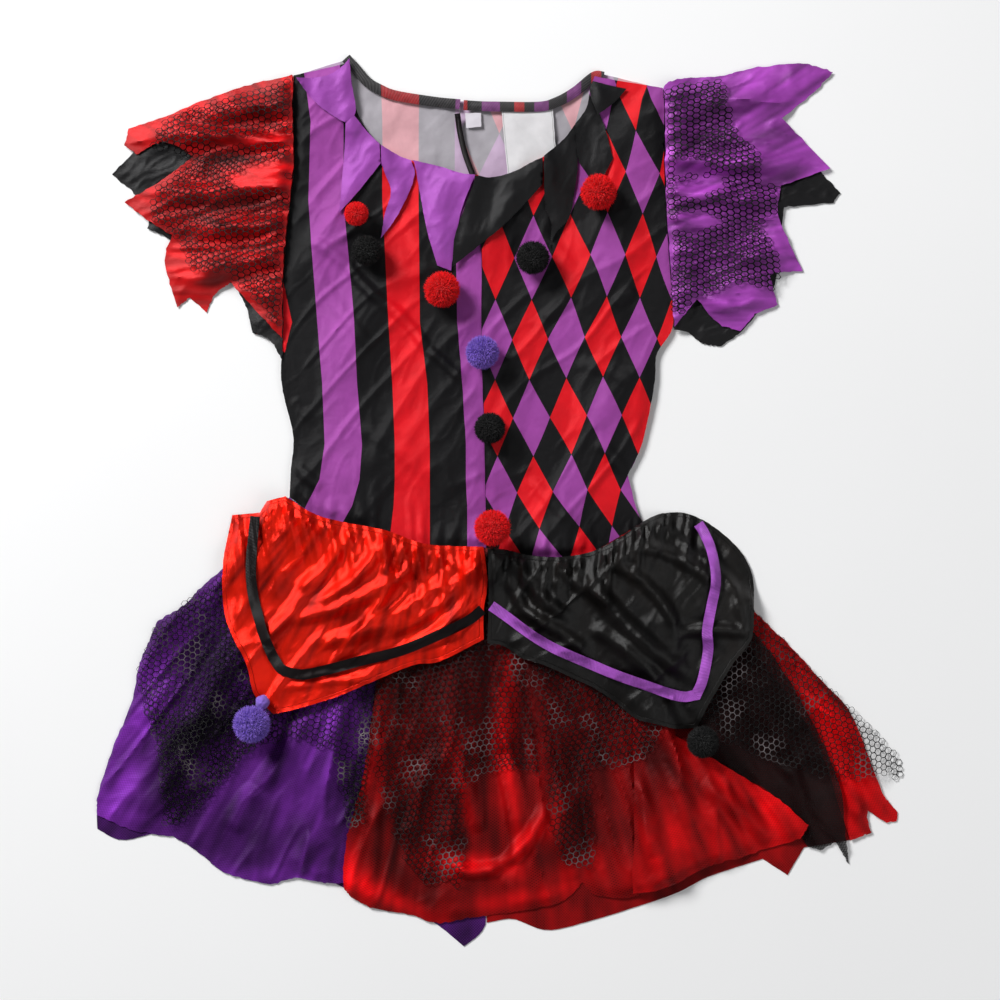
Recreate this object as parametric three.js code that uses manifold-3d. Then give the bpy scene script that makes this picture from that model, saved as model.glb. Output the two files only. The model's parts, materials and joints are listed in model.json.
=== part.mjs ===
// A child's jester dress lying on its back on a flat surface, front up, in millimetres.
// +X is the picture's right, +Y runs from the hem to the collar and +Z is up from the surface.
// The pieces are laid one after another on a bench that remembers how high the cloth already is,
// so each wall lies on the ones below it and none of them cross. A piece is a slab with its folds in
// it, cut to its outline as a maker cuts cloth to a pattern.
import * as THREE from "three";
import Module from "manifold-3d";

const wasm = await Module();
wasm.setup();

// Driving sizes
const CLOTH = 1.1;
const NET = 1.0;
const TRIM = 1.2;
const AIR = 0.35;
const SEAM = 0.4;
const RIBBON_WIDTH = 8.5;
const NECK_HEM_WIDTH = 8;
const SLIT_EDGE_WIDTH = 5;
const BENCH = { halfWidth: 350, halfLength: 390, step: 1 };
const CUTTER = { bottom: -10, height: 120 };
const SLAB_MARGIN = 3.37;
const POMPOM_CORE = 0.8;
const SEAT_SAMPLES = 8;
const EDGE_ON = 1e-6;
const ROUGHNESS = { knit: 0.7, satin: 0.35, petal: 0.5, ribbon: 0.5, yarn: 0.95 };
const SLEEVE_GATHERS = { count: 8, height: 3.5, width: 9, depth: 0.35 };
const PEPLUM_GATHERS = { count: 10, height: 5, width: 9, depth: 0.3 };

// The grid cell of each kind of piece in millimetres, along X and along Y
const CELL = {
  flat: { x: 800, y: 800 },
  bodice: { x: 13, y: 17 },
  sleeve: { x: 19, y: 9.5 },
  sleeveNet: { x: 23, y: 15 },
  points: { x: 40, y: 28 },
  skirt: { x: 14, y: 20 },
  skirtNet: { x: 21, y: 27 },
  peplum: { x: 9, y: 16 },
  collar: { x: 9, y: 10 },
  label: { x: 12, y: 14 },
};
const STRIP_STEP = 12;

// One object for each row, its keys the column names
function table(columns, rows) {
  const names = columns.split(" ");
  return rows.map((row) => Object.fromEntries(names.map((name, i) => [name, row[i]])));
}

const shifted = (edge, dx, dy) => edge.map(({ x, y }) => ({ x: x + dx, y: y + dy }));

const armholeLeft = table("x y", [
  [-165, 339], [-165, 302], [-164, 270], [-168, 233], [-171, 203], [-173, 175], [-173, 136],
]);
const armholeRight = table("x y", [
  [130, 329], [131, 314], [131, 270], [133, 221], [136, 180], [138, 139],
]);
const sideLeft = table("x y", [[-175, 101], [-173, 85], [-165, 50], [-167, 24]]);
const sideRight = table("x y", [
  [125, 116], [124, 99], [119, 69], [112, 41], [102, 20], [110, -10],
]);
const waistLeft = table("x y", [[-168, 2], [-147, -12], [-126, -18], [-91, -25], [-58, -36], [-11, -38]]);
const waistRight = table("x y", [
  [-11, -38], [6, -40], [25, -45], [49, -46], [72, -42], [94, -30], [114, -19],
]);
const centreFront = table("x y", [[-20, 259], [-15, 200], [-15, 120], [-13, 64], [-11, -38]]);
const centreBack = table("x y", [[-33, 319], [-30, 277], [-21, 258], [-11, -38]]);
const neckLeft = table("x y", [
  [-120, 349], [-118, 331], [-114, 310], [-105, 294], [-93, 282], [-79, 274], [-70, 271], [-48, 264],
  [-20, 259],
]);
const neckRight = table("x y", [
  [-20, 259], [-6, 257], [12, 262], [27, 270], [41, 278], [51, 288], [60, 300], [68, 311], [72, 329],
  [75, 338],
]);
const backNeckLeft = table("x y", [
  [-123, 352], [-116, 346], [-107, 337], [-96, 330], [-80, 325], [-52, 321], [-33, 319],
]);
const backNeckRight = table("x y", [
  [-32, 319], [0, 317], [32, 317], [45, 320], [58, 327], [74, 338], [80, 341],
]);
const skirtRedLeft = table("x y", [[-101, -161], [-109, -219], [-117, -250], [-123, -275]]);

// Where the skirt's panels and nets begin and end on the front waist seam
const waistAt = {
  redPanel: { x: -77, y: -30 },
  leftNetEnd: { x: -97, y: -24 },
  middleNet: { x: -96, y: -24 },
  middleNetEnd: { x: 10, y: -41 },
  rightNet: { x: 12, y: -42 },
};

const COLOUR = {
  red: 0xe60f1e,
  redSatin: 0xe8220c,
  redDeep: 0xa80808,
  purple: 0xa54ba5,
  purpleCollar: 0x9a4bb4,
  purpleTulle: 0x65208c,
  black: 0x1c1b1d,
  pale: 0xc9c2c6,
  white: 0xf0eeee,
  blueViolet: 0x6946be,
};

// The highest cloth laid so far, on a square raster over the surface
class Bench {
  constructor({ halfWidth, halfLength, step }) {
    Object.assign(this, { halfWidth, halfLength, step });
    this.columns = Math.ceil((2 * halfWidth) / step);
    this.rows = Math.ceil((2 * halfLength) / step);
    this.height = new Float64Array(this.columns * this.rows);
    this.halfDiagonal = step * Math.SQRT1_2;
  }

  // Calls visit with the index and centre of each raster square in a box
  inBox(lowX, highX, lowY, highY, visit) {
    const { step, halfWidth, halfLength } = this;
    const firstColumn = Math.max(0, Math.floor((lowX + halfWidth) / step));
    const lastColumn = Math.min(this.columns - 1, Math.floor((highX + halfWidth) / step));
    const firstRow = Math.max(0, Math.floor((lowY + halfLength) / step));
    const lastRow = Math.min(this.rows - 1, Math.floor((highY + halfLength) / step));
    for (let row = firstRow; row <= lastRow; row += 1) {
      for (let column = firstColumn; column <= lastColumn; column += 1) {
        const x = (column + 0.5) * step - halfWidth;
        const y = (row + 0.5) * step - halfLength;
        visit(row * this.columns + column, x, y);
      }
    }
  }

  // The highest cloth within reach of a point
  highest(x, y, reachX, reachY) {
    let top = 0;
    this.inBox(x - reachX, x + reachX, y - reachY, y + reachY, (index) => {
      top = Math.max(top, this.height[index]);
    });
    return top;
  }

  // How far a shape has to rise to clear the cloth below all of its triangles
  liftFor(triangles) {
    let lift = -Infinity;
    triangles.forEach(([a, b, c]) => {
      for (let i = 0; i <= SEAT_SAMPLES; i += 1) {
        for (let j = 0; j <= SEAT_SAMPLES - i; j += 1) {
          const [s, t] = [i / SEAT_SAMPLES, j / SEAT_SAMPLES];
          const p = a.clone().multiplyScalar(1 - s - t).addScaledVector(b, s).addScaledVector(c, t);
          lift = Math.max(lift, this.highest(p.x, p.y, 0, 0) - p.z);
        }
      }
    });
    return lift;
  }

  // Raises every square that a triangle reaches to that triangle's height
  lay([a, b, c]) {
    const normal = new THREE.Vector3().crossVectors(b.clone().sub(a), c.clone().sub(a)).normalize();
    if (normal.z < EDGE_ON) {
      return;
    }
    const slope = Math.hypot(normal.x, normal.y) / normal.z;
    const top = Math.max(a.z, b.z, c.z);
    const [lowX, highX] = [Math.min(a.x, b.x, c.x), Math.max(a.x, b.x, c.x)];
    const [lowY, highY] = [Math.min(a.y, b.y, c.y), Math.max(a.y, b.y, c.y)];
    const sides = [[a, b], [b, c], [c, a]];
    this.inBox(lowX, highX, lowY, highY, (index, x, y) => {
      const outside = sides.some(([p, q]) => {
        const cross = (q.x - p.x) * (y - p.y) - (q.y - p.y) * (x - p.x);
        return cross / Math.hypot(q.x - p.x, q.y - p.y) < -this.halfDiagonal;
      });
      if (outside) {
        return;
      }
      const plane = a.z - (normal.x * (x - a.x) + normal.y * (y - a.y)) / normal.z;
      const height = Math.min(top, plane + slope * this.halfDiagonal);
      this.height[index] = Math.max(this.height[index], height);
    });
  }
}

const bench = new Bench(BENCH);
const group = new THREE.Group();

function material(colour, roughness) {
  return new THREE.MeshStandardMaterial({ color: colour, roughness, metalness: 0 });
}

function add(name, geometry, surface) {
  geometry.computeVertexNormals();
  const mesh = new THREE.Mesh(geometry, surface);
  mesh.name = name;
  group.add(mesh);
}

function edgeLength(line) {
  return line.slice(1).reduce((sum, p, i) => sum + Math.hypot(p.x - line[i].x, p.y - line[i].y), 0);
}

// The point at a fraction of a line's length
function pointAt(line, share) {
  let left = share * edgeLength(line);
  for (let i = 1; i < line.length; i += 1) {
    const [from, to] = [line[i - 1], line[i]];
    const span = Math.hypot(to.x - from.x, to.y - from.y);
    if (left <= span || i === line.length - 1) {
      const part = Math.min(1, left / span);
      return { x: from.x + part * (to.x - from.x), y: from.y + part * (to.y - from.y) };
    }
    left -= span;
  }
  return line[0];
}

// The height of one rounded fold that runs straight between two points
function foldHeight({ fromX, fromY, toX, toY, width, height }, x, y) {
  const [dx, dy] = [toX - fromX, toY - fromY];
  const share = ((x - fromX) * dx + (y - fromY) * dy) / (dx * dx + dy * dy);
  const along = Math.min(1, Math.max(0, share));
  const away = Math.hypot(x - fromX - along * dx, y - fromY - along * dy);
  return away < width ? height * Math.cos((Math.PI * away) / (2 * width)) ** 2 : 0;
}

// A fold for each gather of a seam, running from the seam towards the far edge
function gatherFolds({ seam, far, count, depth, width, height }) {
  return Array.from({ length: count }, (_, i) => {
    const share = (i + 0.5) / count;
    const [from, towards] = [pointAt(seam, share), pointAt(far, share)];
    const toX = from.x + depth * (towards.x - from.x);
    const toY = from.y + depth * (towards.y - from.y);
    return { fromX: from.x, fromY: from.y, toX, toY, width, height };
  });
}

// Sets a grid of points on the cloth below, each clear of all that lies within its own cells
function drape(grid, reachX, reachY, folds, wall) {
  grid.flat().forEach((p) => {
    const base = bench.highest(p.x, p.y, reachX, reachY) + AIR;
    p.z = base + wall + folds.reduce((top, fold) => Math.max(top, foldHeight(fold, p.x, p.y)), 0);
  });
}

// A closed wall with the grid as its upper face; the grid runs along X first, then along Y
function wallGeometry(grid, wall) {
  const [rows, columns] = [grid.length, grid[0].length];
  const positions = [];
  const upper = (i, j) => i * columns + j;
  const lower = (i, j) => rows * columns + upper(i, j);
  grid.flat().forEach((p) => positions.push(p.x, p.y, p.z));
  grid.flat().forEach((p) => positions.push(p.x, p.y, p.z - wall));
  const faces = [];
  for (let i = 1; i < rows; i += 1) {
    for (let j = 1; j < columns; j += 1) {
      const quad = [[i - 1, j - 1], [i, j - 1], [i, j], [i - 1, j]];
      for (const [a, b, c] of [[0, 1, 2], [0, 2, 3]]) {
        faces.push(upper(...quad[a]), upper(...quad[b]), upper(...quad[c]));
        faces.push(lower(...quad[a]), lower(...quad[c]), lower(...quad[b]));
      }
    }
  }
  const rim = [];
  for (let i = 0; i < rows - 1; i += 1) {
    rim.push([i, 0]);
  }
  for (let j = 0; j < columns - 1; j += 1) {
    rim.push([rows - 1, j]);
  }
  for (let i = rows - 1; i > 0; i -= 1) {
    rim.push([i, columns - 1]);
  }
  for (let j = columns - 1; j > 0; j -= 1) {
    rim.push([0, j]);
  }
  rim.forEach((here, k) => {
    const next = rim[(k + 1) % rim.length];
    faces.push(upper(...here), lower(...here), lower(...next));
    faces.push(upper(...here), lower(...next), upper(...next));
  });
  const geometry = new THREE.BufferGeometry();
  geometry.setAttribute("position", new THREE.Float32BufferAttribute(positions, 3));
  geometry.setIndex(faces);
  return geometry;
}

// The part of a closed shape that lies inside an upright cutter of the given outline
function cutToOutline(geometry, outline) {
  const vertProperties = new Float32Array(geometry.getAttribute("position").array);
  const triVerts = new Uint32Array(geometry.getIndex().array);
  const slab = new wasm.Manifold(new wasm.Mesh({ numProp: 3, vertProperties, triVerts }));
  const loop = outline.map(({ x, y }) => [x, y]);
  const area = outline.reduce((sum, p, i) => {
    const next = outline[(i + 1) % outline.length];
    return sum + p.x * next.y - next.x * p.y;
  }, 0);
  const pattern = area > 0 ? loop : loop.reverse();
  const cutter = wasm.Manifold.extrude([pattern], CUTTER.height).translate(0, 0, CUTTER.bottom);
  const { vertProperties: points, triVerts: faces } = slab.intersect(cutter).getMesh();
  const cut = new THREE.BufferGeometry();
  cut.setAttribute("position", new THREE.Float32BufferAttribute(points, 3));
  cut.setIndex([...faces]);
  return cut;
}

// Tells the bench about a piece that has been laid
function layGeometry(geometry) {
  const points = geometry.getAttribute("position");
  const faces = geometry.getIndex();
  for (let i = 0; i < faces.count; i += 3) {
    bench.lay([0, 1, 2].map((k) => new THREE.Vector3().fromBufferAttribute(points, faces.getX(i + k))));
  }
}

// Grid lines across a span, a little past both of its ends
function gridLines(low, high, cell) {
  const span = high - low + 2 * SLAB_MARGIN;
  const steps = Math.max(1, Math.round(span / cell));
  return Array.from({ length: steps + 1 }, (_, i) => low - SLAB_MARGIN + (span * i) / steps);
}

// One piece of cloth between its seam, its hem and the two edges that join them
function cloth(name, colour, piece) {
  const { seam, hem, first = [], last = [], cell, wall = CLOTH, resting = false } = piece;
  const { folds = [], gathers, roughness = ROUGHNESS.knit } = piece;
  const outline = [...seam, ...last, ...[...hem].reverse(), ...[...first].reverse()];
  const [xs, ys] = ["x", "y"].map((axis) => {
    const values = outline.map((p) => p[axis]);
    return gridLines(Math.min(...values), Math.max(...values), cell[axis]);
  });
  const grid = xs.map((x) => ys.map((y) => new THREE.Vector3(x, y, wall)));
  if (!resting) {
    const gathered = gathers ? gatherFolds({ seam, far: hem, ...gathers }) : [];
    drape(grid, xs[1] - xs[0], ys[1] - ys[0], [...folds, ...gathered], wall);
  }
  const geometry = cutToOutline(wallGeometry(grid, wall), outline);
  layGeometry(geometry);
  add(name, geometry, material(colour, roughness));
}

// A flat strip of one width along a line that runs towards +X or +Y
function strip(name, colour, line, width) {
  const steps = Math.ceil(edgeLength(line) / STRIP_STEP);
  const stations = Array.from({ length: steps + 1 }, (_, i) => pointAt(line, i / steps));
  const grid = stations.map((p, i) => {
    const [before, after] = [stations[Math.max(0, i - 1)], stations[Math.min(steps, i + 1)]];
    const length = Math.hypot(after.x - before.x, after.y - before.y);
    return [-1, 1].map((side) => {
      const x = p.x - (side * width * (after.y - before.y)) / (2 * length);
      const y = p.y + (side * width * (after.x - before.x)) / (2 * length);
      return new THREE.Vector3(x, y, 0);
    });
  });
  const reach = STRIP_STEP + width;
  drape(grid, reach, reach, [], TRIM);
  const geometry = wallGeometry(grid, TRIM);
  layGeometry(geometry);
  add(name, geometry, material(colour, ROUGHNESS.ribbon));
}

const FOLD = "fromX fromY toX toY width height";

// Backs: flat on the surface, plain because nothing shows of them but the neck and hem
cloth("skirt_back_left", COLOUR.purpleTulle, {
  seam: shifted(waistLeft, -0.5, -SEAM),
  hem: table("x y", [
    [-322, -263], [-303, -272], [-264, -266], [-216, -290], [-160, -294], [-120, -312], [-80, -322],
    [-51, -339], [-29, -357], [-17, -348], [-11.5, -338],
  ]),
  first: table("x y", [[-214, -48], [-248, -86], [-274, -112], [-290, -160], [-314, -220], [-322, -242]]),
  cell: CELL.flat,
  resting: true,
});
cloth("skirt_back_right", COLOUR.redDeep, {
  seam: shifted(waistRight, 0.5, -SEAM),
  hem: table("x y", [
    [-10.5, -338], [10, -335], [37, -344], [74, -336], [107, -326], [142, -314], [165, -302], [210, -287],
    [230, -300], [243, -278], [280, -272],
  ]),
  last: table("x y", [[160, -60], [200, -92], [232, -124], [268, -164], [294, -232]]),
  cell: CELL.flat,
  resting: true,
});
cloth("bodice_back_left", COLOUR.pale, {
  seam: [armholeLeft[0], ...backNeckLeft],
  hem: waistLeft,
  first: [...armholeLeft.slice(1, 6), ...table("x y", [[-184, 149], [-174, 119]]), ...sideLeft],
  last: centreBack.slice(1, -1),
  cell: CELL.flat,
  resting: true,
});
cloth("bodice_back_right", COLOUR.pale, {
  seam: [...backNeckRight, armholeRight[0]],
  hem: shifted(waistRight, 0.6, 0),
  first: shifted(centreBack.slice(1, -1), 1, 0),
  last: [...armholeRight.slice(1), ...sideRight],
  cell: CELL.flat,
  resting: true,
});
cloth("sleeve_left_back", COLOUR.red, {
  seam: shifted(armholeLeft.slice(0, 6), -SEAM, 0),
  hem: table("x y", [[-216, 324], [-260, 306], [-280, 268], [-264, 220], [-248, 184], [-212, 183]]),
  cell: CELL.flat,
  resting: true,
});
cloth("sleeve_right_back", COLOUR.purple, {
  seam: shifted(armholeRight.slice(0, 5), SEAM, 0),
  hem: table("x y", [[192, 336], [220, 328], [214, 280], [218, 240], [212, 200], [188, 182]]),
  cell: CELL.flat,
  resting: true,
});

// What shows in the open neck
cloth("closure_tab", COLOUR.pale, {
  seam: table("x y", [[-28, 309], [-15, 309]]),
  hem: table("x y", [[-27, 297], [-15, 298]]),
  cell: CELL.label,
});
cloth("care_label", COLOUR.white, {
  seam: table("x y", [[1, 312], [42, 314]]),
  hem: table("x y", [[6, 259], [46, 262]]),
  cell: CELL.label,
});
strip("neck_hem_left", COLOUR.black, table("x y", [
  [-123, 353], [-114, 343], [-106, 334], [-96, 328], [-83, 323], [-52, 318], [-36, 316],
]), NECK_HEM_WIDTH);
strip("neck_hem_right", COLOUR.black, table("x y", [
  [-26, 315], [0, 314], [32, 314], [46, 318], [60, 326], [75, 338], [83, 338],
]), NECK_HEM_WIDTH);
strip("slit_edge", COLOUR.black, table("x y", [
  [-34, 308], [-32, 294], [-28, 277], [-22, 260],
]), SLIT_EDGE_WIDTH);

// The bodice's two front halves, seamed down the centre
cloth("bodice_front_left", COLOUR.purple, {
  seam: [armholeLeft[0], ...neckLeft],
  hem: waistLeft,
  first: [...armholeLeft.slice(1), ...sideLeft],
  last: centreFront.slice(1, -1),
  cell: CELL.bodice,
  folds: table(FOLD, [
    [-151, 207, -122, 186, 8, 3],
    [-122, 186, -92, 155, 8, 3.5],
    [-92, 155, -58, 119, 8, 3.5],
    [-58, 119, -30, 98, 7, 3],
    [-166, 83, -152, 64, 8, 2],
    [-164, 29, -142, 8, 8, 3],
  ]),
});
cloth("bodice_front_right", COLOUR.red, {
  seam: [...shifted(neckRight, SEAM, 0), armholeRight[0]],
  hem: shifted(waistRight, SEAM, 0),
  first: shifted(centreFront.slice(1, -1), SEAM, 0),
  last: [...armholeRight.slice(1), ...sideRight],
  cell: CELL.bodice,
  folds: table(FOLD, [
    [34, 144, 56, 160, 8, 3],
    [91, 155, 109, 168, 8, 3],
    [78, 48, 106, 8, 9, 3],
    [20, 20, 60, -20, 9, 2.5],
  ]),
});

// The skirt's front, from the panels that lie lowest to the net over them
cloth("skirt_front_purple", COLOUR.purpleTulle, {
  seam: [...waistLeft.slice(0, 4), waistAt.redPanel],
  hem: table("x y", [
    [-322, -240], [-322, -252], [-294, -264], [-258, -271], [-237, -285], [-220, -298], [-183, -307],
    [-165, -302], [-140, -306], [-125, -306],
  ]),
  first: table("x y", [
    [-214, -48], [-238, -69], [-254, -85], [-273, -97], [-281, -114], [-289, -134], [-294, -160],
    [-310, -199],
  ]),
  last: skirtRedLeft,
  cell: CELL.skirt,
  folds: table(FOLD, [
    [-151, -164, -194, -229, 15, 8],
    [-194, -229, -215, -265, 14, 8],
    [-258, -144, -289, -177, 15, 6],
    [-210, -120, -262, -225, 16, 6],
    [-165, -296, -140, -266, 13, 6],
    [-128, -150, -140, -240, 14, 5],
    [-245, -190, -285, -250, 14, 5],
  ]),
});
cloth("skirt_front_red", COLOUR.redDeep, {
  seam: [waistAt.redPanel, waistLeft[4], ...waistRight.slice(0, 6)],
  hem: table("x y", [
    [-125, -306], [-120, -316], [-102, -326], [-70, -332], [-51, -338], [-30, -335], [-9, -332],
    [14, -329], [50, -321], [66, -306], [74, -316], [99, -318], [132, -309], [165, -293], [192, -282],
  ]),
  first: skirtRedLeft,
  last: table("x y", [[124, -112], [138, -201]]),
  cell: CELL.skirt,
  folds: table(FOLD, [
    [2, -144, 4, -202, 14, 9],
    [4, -202, 14, -266, 14, 8],
    [-27, -219, -15, -266, 12, 7],
    [-38, -292, 2, -290, 9, 10],
    [2, -290, 35, -247, 9, 10],
    [-64, -208, -80, -320, 13, 6],
    [48, -224, 60, -304, 14, 6],
    [-100, -240, -104, -312, 11, 4],
  ]),
});
cloth("skirt_petal_red", COLOUR.red, {
  seam: waistRight.slice(5),
  hem: table("x y", [
    [280, -272], [297, -266], [294, -258], [294, -248], [309, -258], [317, -257], [318, -250],
  ]),
  first: table("x y", [[192, -112], [248, -184]]),
  last: table("x y", [[192, -80], [237, -120], [276, -160], [306, -234]]),
  cell: CELL.skirt,
  folds: table(FOLD, [[237, -140, 306, -236, 11, 6], [272, -208, 290, -258, 10, 4]]),
});
cloth("skirt_petal_black", COLOUR.black, {
  seam: shifted(waistRight.slice(5), -2, -1),
  hem: table("x y", [[245, -276], [256, -280], [270, -274], [278, -290], [271, -271]]),
  first: table("x y", [[140, -152], [171, -207], [220, -237]]),
  last: table("x y", [[176, -80], [208, -112], [240, -160], [270, -224]]),
  cell: CELL.skirt,
  folds: table(FOLD, [[200, -150, 244, -250, 12, 5], [172, -130, 200, -190, 12, 5]]),
});
cloth("skirt_petal_bright", COLOUR.red, {
  seam: table("x y", [[78, -40], [104, -25]]),
  hem: table("x y", [[106, -314], [132, -309], [165, -293], [204, -282], [240, -270], [246, -259]]),
  first: table("x y", [[104, -160]]),
  last: table("x y", [[128, -112], [140, -188], [171, -207], [220, -237]]),
  cell: CELL.skirt,
  folds: table(FOLD, [
    [104, -216, 121, -285, 13, 7],
    [160, -224, 216, -272, 13, 6],
    [128, -170, 152, -262, 12, 5],
  ]),
});
cloth("skirt_net_left", COLOUR.black, {
  seam: [...waistLeft.slice(0, 4), waistAt.leftNetEnd],
  hem: table("x y", [
    [-290, -147], [-274, -204], [-268, -264], [-245, -252], [-201, -203], [-168, -190], [-132, -202],
    [-123, -266], [-107, -256],
  ]),
  first: table("x y", [[-214, -48], [-222, -58], [-243, -75], [-273, -97], [-281, -114], [-289, -134]]),
  last: table("x y", [[-102, -112], [-101, -176]]),
  cell: CELL.skirtNet,
  wall: NET,
});
cloth("skirt_net_middle", COLOUR.black, {
  seam: [waistAt.middleNet, ...waistLeft.slice(4), waistAt.middleNetEnd],
  hem: table("x y", [
    [-102, -202], [-84, -272], [-60, -310], [-48, -304], [-30, -312], [-27, -280], [-26, -226], [4, -216],
    [34, -220],
  ]),
  cell: CELL.skirtNet,
  wall: NET,
});
cloth("skirt_net_right", COLOUR.black, {
  seam: [waistAt.rightNet, ...waistRight.slice(2, 6)],
  hem: table("x y", [
    [35, -220], [40, -264], [50, -291], [64, -294], [76, -299], [74, -214], [93, -213], [115, -206],
    [130, -188],
  ]),
  last: table("x y", [[112, -112]]),
  cell: CELL.skirtNet,
  wall: NET,
});
cloth("skirt_net_side", COLOUR.black, {
  seam: shifted(waistRight.slice(5), 0, -1),
  hem: table("x y", [
    [178, -192], [235, -214], [272, -224], [310, -220], [319, -226], [323, -218], [323, -210],
  ]),
  first: table("x y", [[152, -152]]),
  last: table("x y", [[202, -83], [227, -108], [266, -147], [307, -191]]),
  cell: CELL.skirtNet,
  wall: NET,
});

// Sleeves: black points below, a coloured shell and a net over it
cloth("sleeve_left_points", COLOUR.black, {
  seam: shifted(armholeLeft, -SEAM, 0),
  hem: table("x y", [
    [-256, 306], [-283, 288], [-310, 260], [-292, 245], [-280, 230], [-282, 217], [-264, 208],
    [-250, 184], [-211, 172], [-202, 151], [-198, 134], [-184, 128], [-174, 112],
  ]),
  cell: CELL.points,
});
cloth("sleeve_right_points", COLOUR.black, {
  seam: shifted(armholeRight, SEAM, 0),
  hem: table("x y", [
    [208, 326], [232, 296], [252, 268], [272, 246], [267, 238], [227, 234], [223, 200], [218, 168],
    [193, 135], [177, 123], [163, 125], [149, 134], [139, 136],
  ]),
  cell: CELL.points,
});
cloth("sleeve_left_shell", COLOUR.red, {
  seam: shifted(armholeLeft, -SEAM, 0),
  hem: table("x y", [
    [-271, 305], [-297, 297], [-300, 283], [-290, 276], [-274, 285], [-259, 283], [-245, 274],
    [-270, 255], [-300, 238], [-282, 224], [-262, 211], [-268, 192], [-258, 154], [-248, 162],
    [-235, 150], [-227, 165], [-215, 174], [-190, 146], [-174, 129],
  ]),
  first: table("x y", [[-200, 332], [-240, 318]]),
  cell: CELL.sleeve,
  folds: table(FOLD, [
    [-170, 320, -236, 306, 12, 6],
    [-170, 286, -256, 294, 11, 8],
    [-170, 250, -276, 244, 12, 9],
    [-172, 222, -236, 216, 10, 8],
    [-174, 192, -244, 178, 10, 7],
    [-176, 160, -214, 168, 8, 5],
  ]),
  gathers: SLEEVE_GATHERS,
});
cloth("sleeve_right_shell", COLOUR.purple, {
  seam: shifted(armholeRight, SEAM, 0),
  hem: table("x y", [
    [243, 349], [266, 342], [252, 327], [225, 305], [264, 265], [224, 251], [222, 228], [242, 183],
    [225, 182], [215, 179], [222, 156], [204, 148], [192, 135], [175, 141], [157, 160], [139, 138],
  ]),
  first: table("x y", [[134, 333], [149, 337], [178, 339], [202, 345]]),
  cell: CELL.sleeve,
  folds: table(FOLD, [
    [135, 306, 214, 320, 12, 7],
    [135, 272, 240, 268, 12, 9],
    [137, 238, 214, 238, 11, 8],
    [138, 204, 220, 194, 11, 8],
    [140, 170, 190, 152, 9, 6],
  ]),
  gathers: SLEEVE_GATHERS,
});
cloth("sleeve_left_net", COLOUR.black, {
  seam: shifted(armholeLeft, -SEAM, 0),
  hem: table("x y", [
    [-268, 306], [-280, 280], [-245, 272], [-274, 248], [-280, 222], [-258, 208], [-248, 182],
    [-219, 179], [-200, 162], [-175, 134],
  ]),
  cell: CELL.sleeveNet,
  wall: NET,
});
cloth("sleeve_right_net", COLOUR.black, {
  seam: shifted(armholeRight, SEAM, 0),
  hem: table("x y", [
    [177, 338], [190, 294], [206, 277], [210, 254], [224, 250], [222, 230], [208, 218], [223, 195],
    [225, 185], [218, 164], [190, 172], [155, 158], [140, 138],
  ]),
  cell: CELL.sleeveNet,
  wall: NET,
});

// The two satin flaps over the skirt, each with a ribbon sewn near its edge
cloth("peplum_red", COLOUR.redSatin, {
  seam: table("x y", [
    [-214, -12], [-191, -10], [-186, -3], [-170, 1], [-147, -13], [-126, -19], [-91, -26], [-58, -37],
    [-13, -39],
  ]),
  hem: table("x y", [
    [-180, -170], [-158, -165], [-126, -155], [-96, -142], [-67, -131], [-50, -129], [-13, -111],
  ]),
  first: table("x y", [[-219, -38], [-221, -72], [-217, -98], [-201, -131], [-195, -155]]),
  last: table("x y", [[-10, -66], [-13, -89]]),
  cell: CELL.peplum,
  roughness: ROUGHNESS.satin,
  folds: table(FOLD, [
    [-136, -30, -160, -84, 14, 6],
    [-102, -36, -120, -98, 14, 7],
    [-70, -44, -80, -100, 13, 7],
    [-40, -46, -44, -88, 12, 6],
    [-182, -20, -196, -80, 14, 4],
  ]),
  gathers: PEPLUM_GATHERS,
});
cloth("peplum_black", COLOUR.black, {
  seam: table("x y", [
    [-10, -40], [6, -42], [25, -46], [49, -47], [72, -43], [94, -32], [114, -20], [129, -11], [150, -11],
    [173, -22],
  ]),
  hem: table("x y", [
    [-10, -114], [2, -116], [18, -126], [34, -131], [58, -142], [75, -150], [93, -162], [108, -174],
    [124, -178], [140, -182], [157, -182],
  ]),
  first: table("x y", [[-9, -77]]),
  last: table("x y", [
    [193, -42], [202, -62], [202, -82], [200, -110], [185, -131], [165, -165],
  ]),
  cell: CELL.peplum,
  roughness: ROUGHNESS.satin,
  folds: table(FOLD, [
    [18, -48, 54, -88, 12, 6],
    [49, -50, 91, -80, 12, 6],
    [78, -58, 152, -139, 14, 7],
    [140, -109, 194, -109, 10, 5],
    [120, -34, 176, -60, 13, 6],
    [20, -92, 60, -122, 10, 4],
  ]),
  gathers: PEPLUM_GATHERS,
});
strip("ribbon_black", COLOUR.black, table("x y", [
  [-194, -16], [-197, -41], [-198, -62], [-196, -82], [-191, -102], [-184, -119], [-174, -133],
  [-163, -139], [-149, -138], [-126, -132], [-93, -121], [-60, -110], [-28, -94], [-16, -84],
]), RIBBON_WIDTH);
strip("ribbon_purple", COLOUR.purpleCollar, table("x y", [
  [-7, -84], [5, -90], [26, -103], [50, -118], [75, -131], [99, -142], [124, -150], [142, -157],
  [153, -155], [160, -145], [164, -123], [165, -105], [169, -82], [171, -62], [169, -38], [163, -23],
]), RIBBON_WIDTH);

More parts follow.
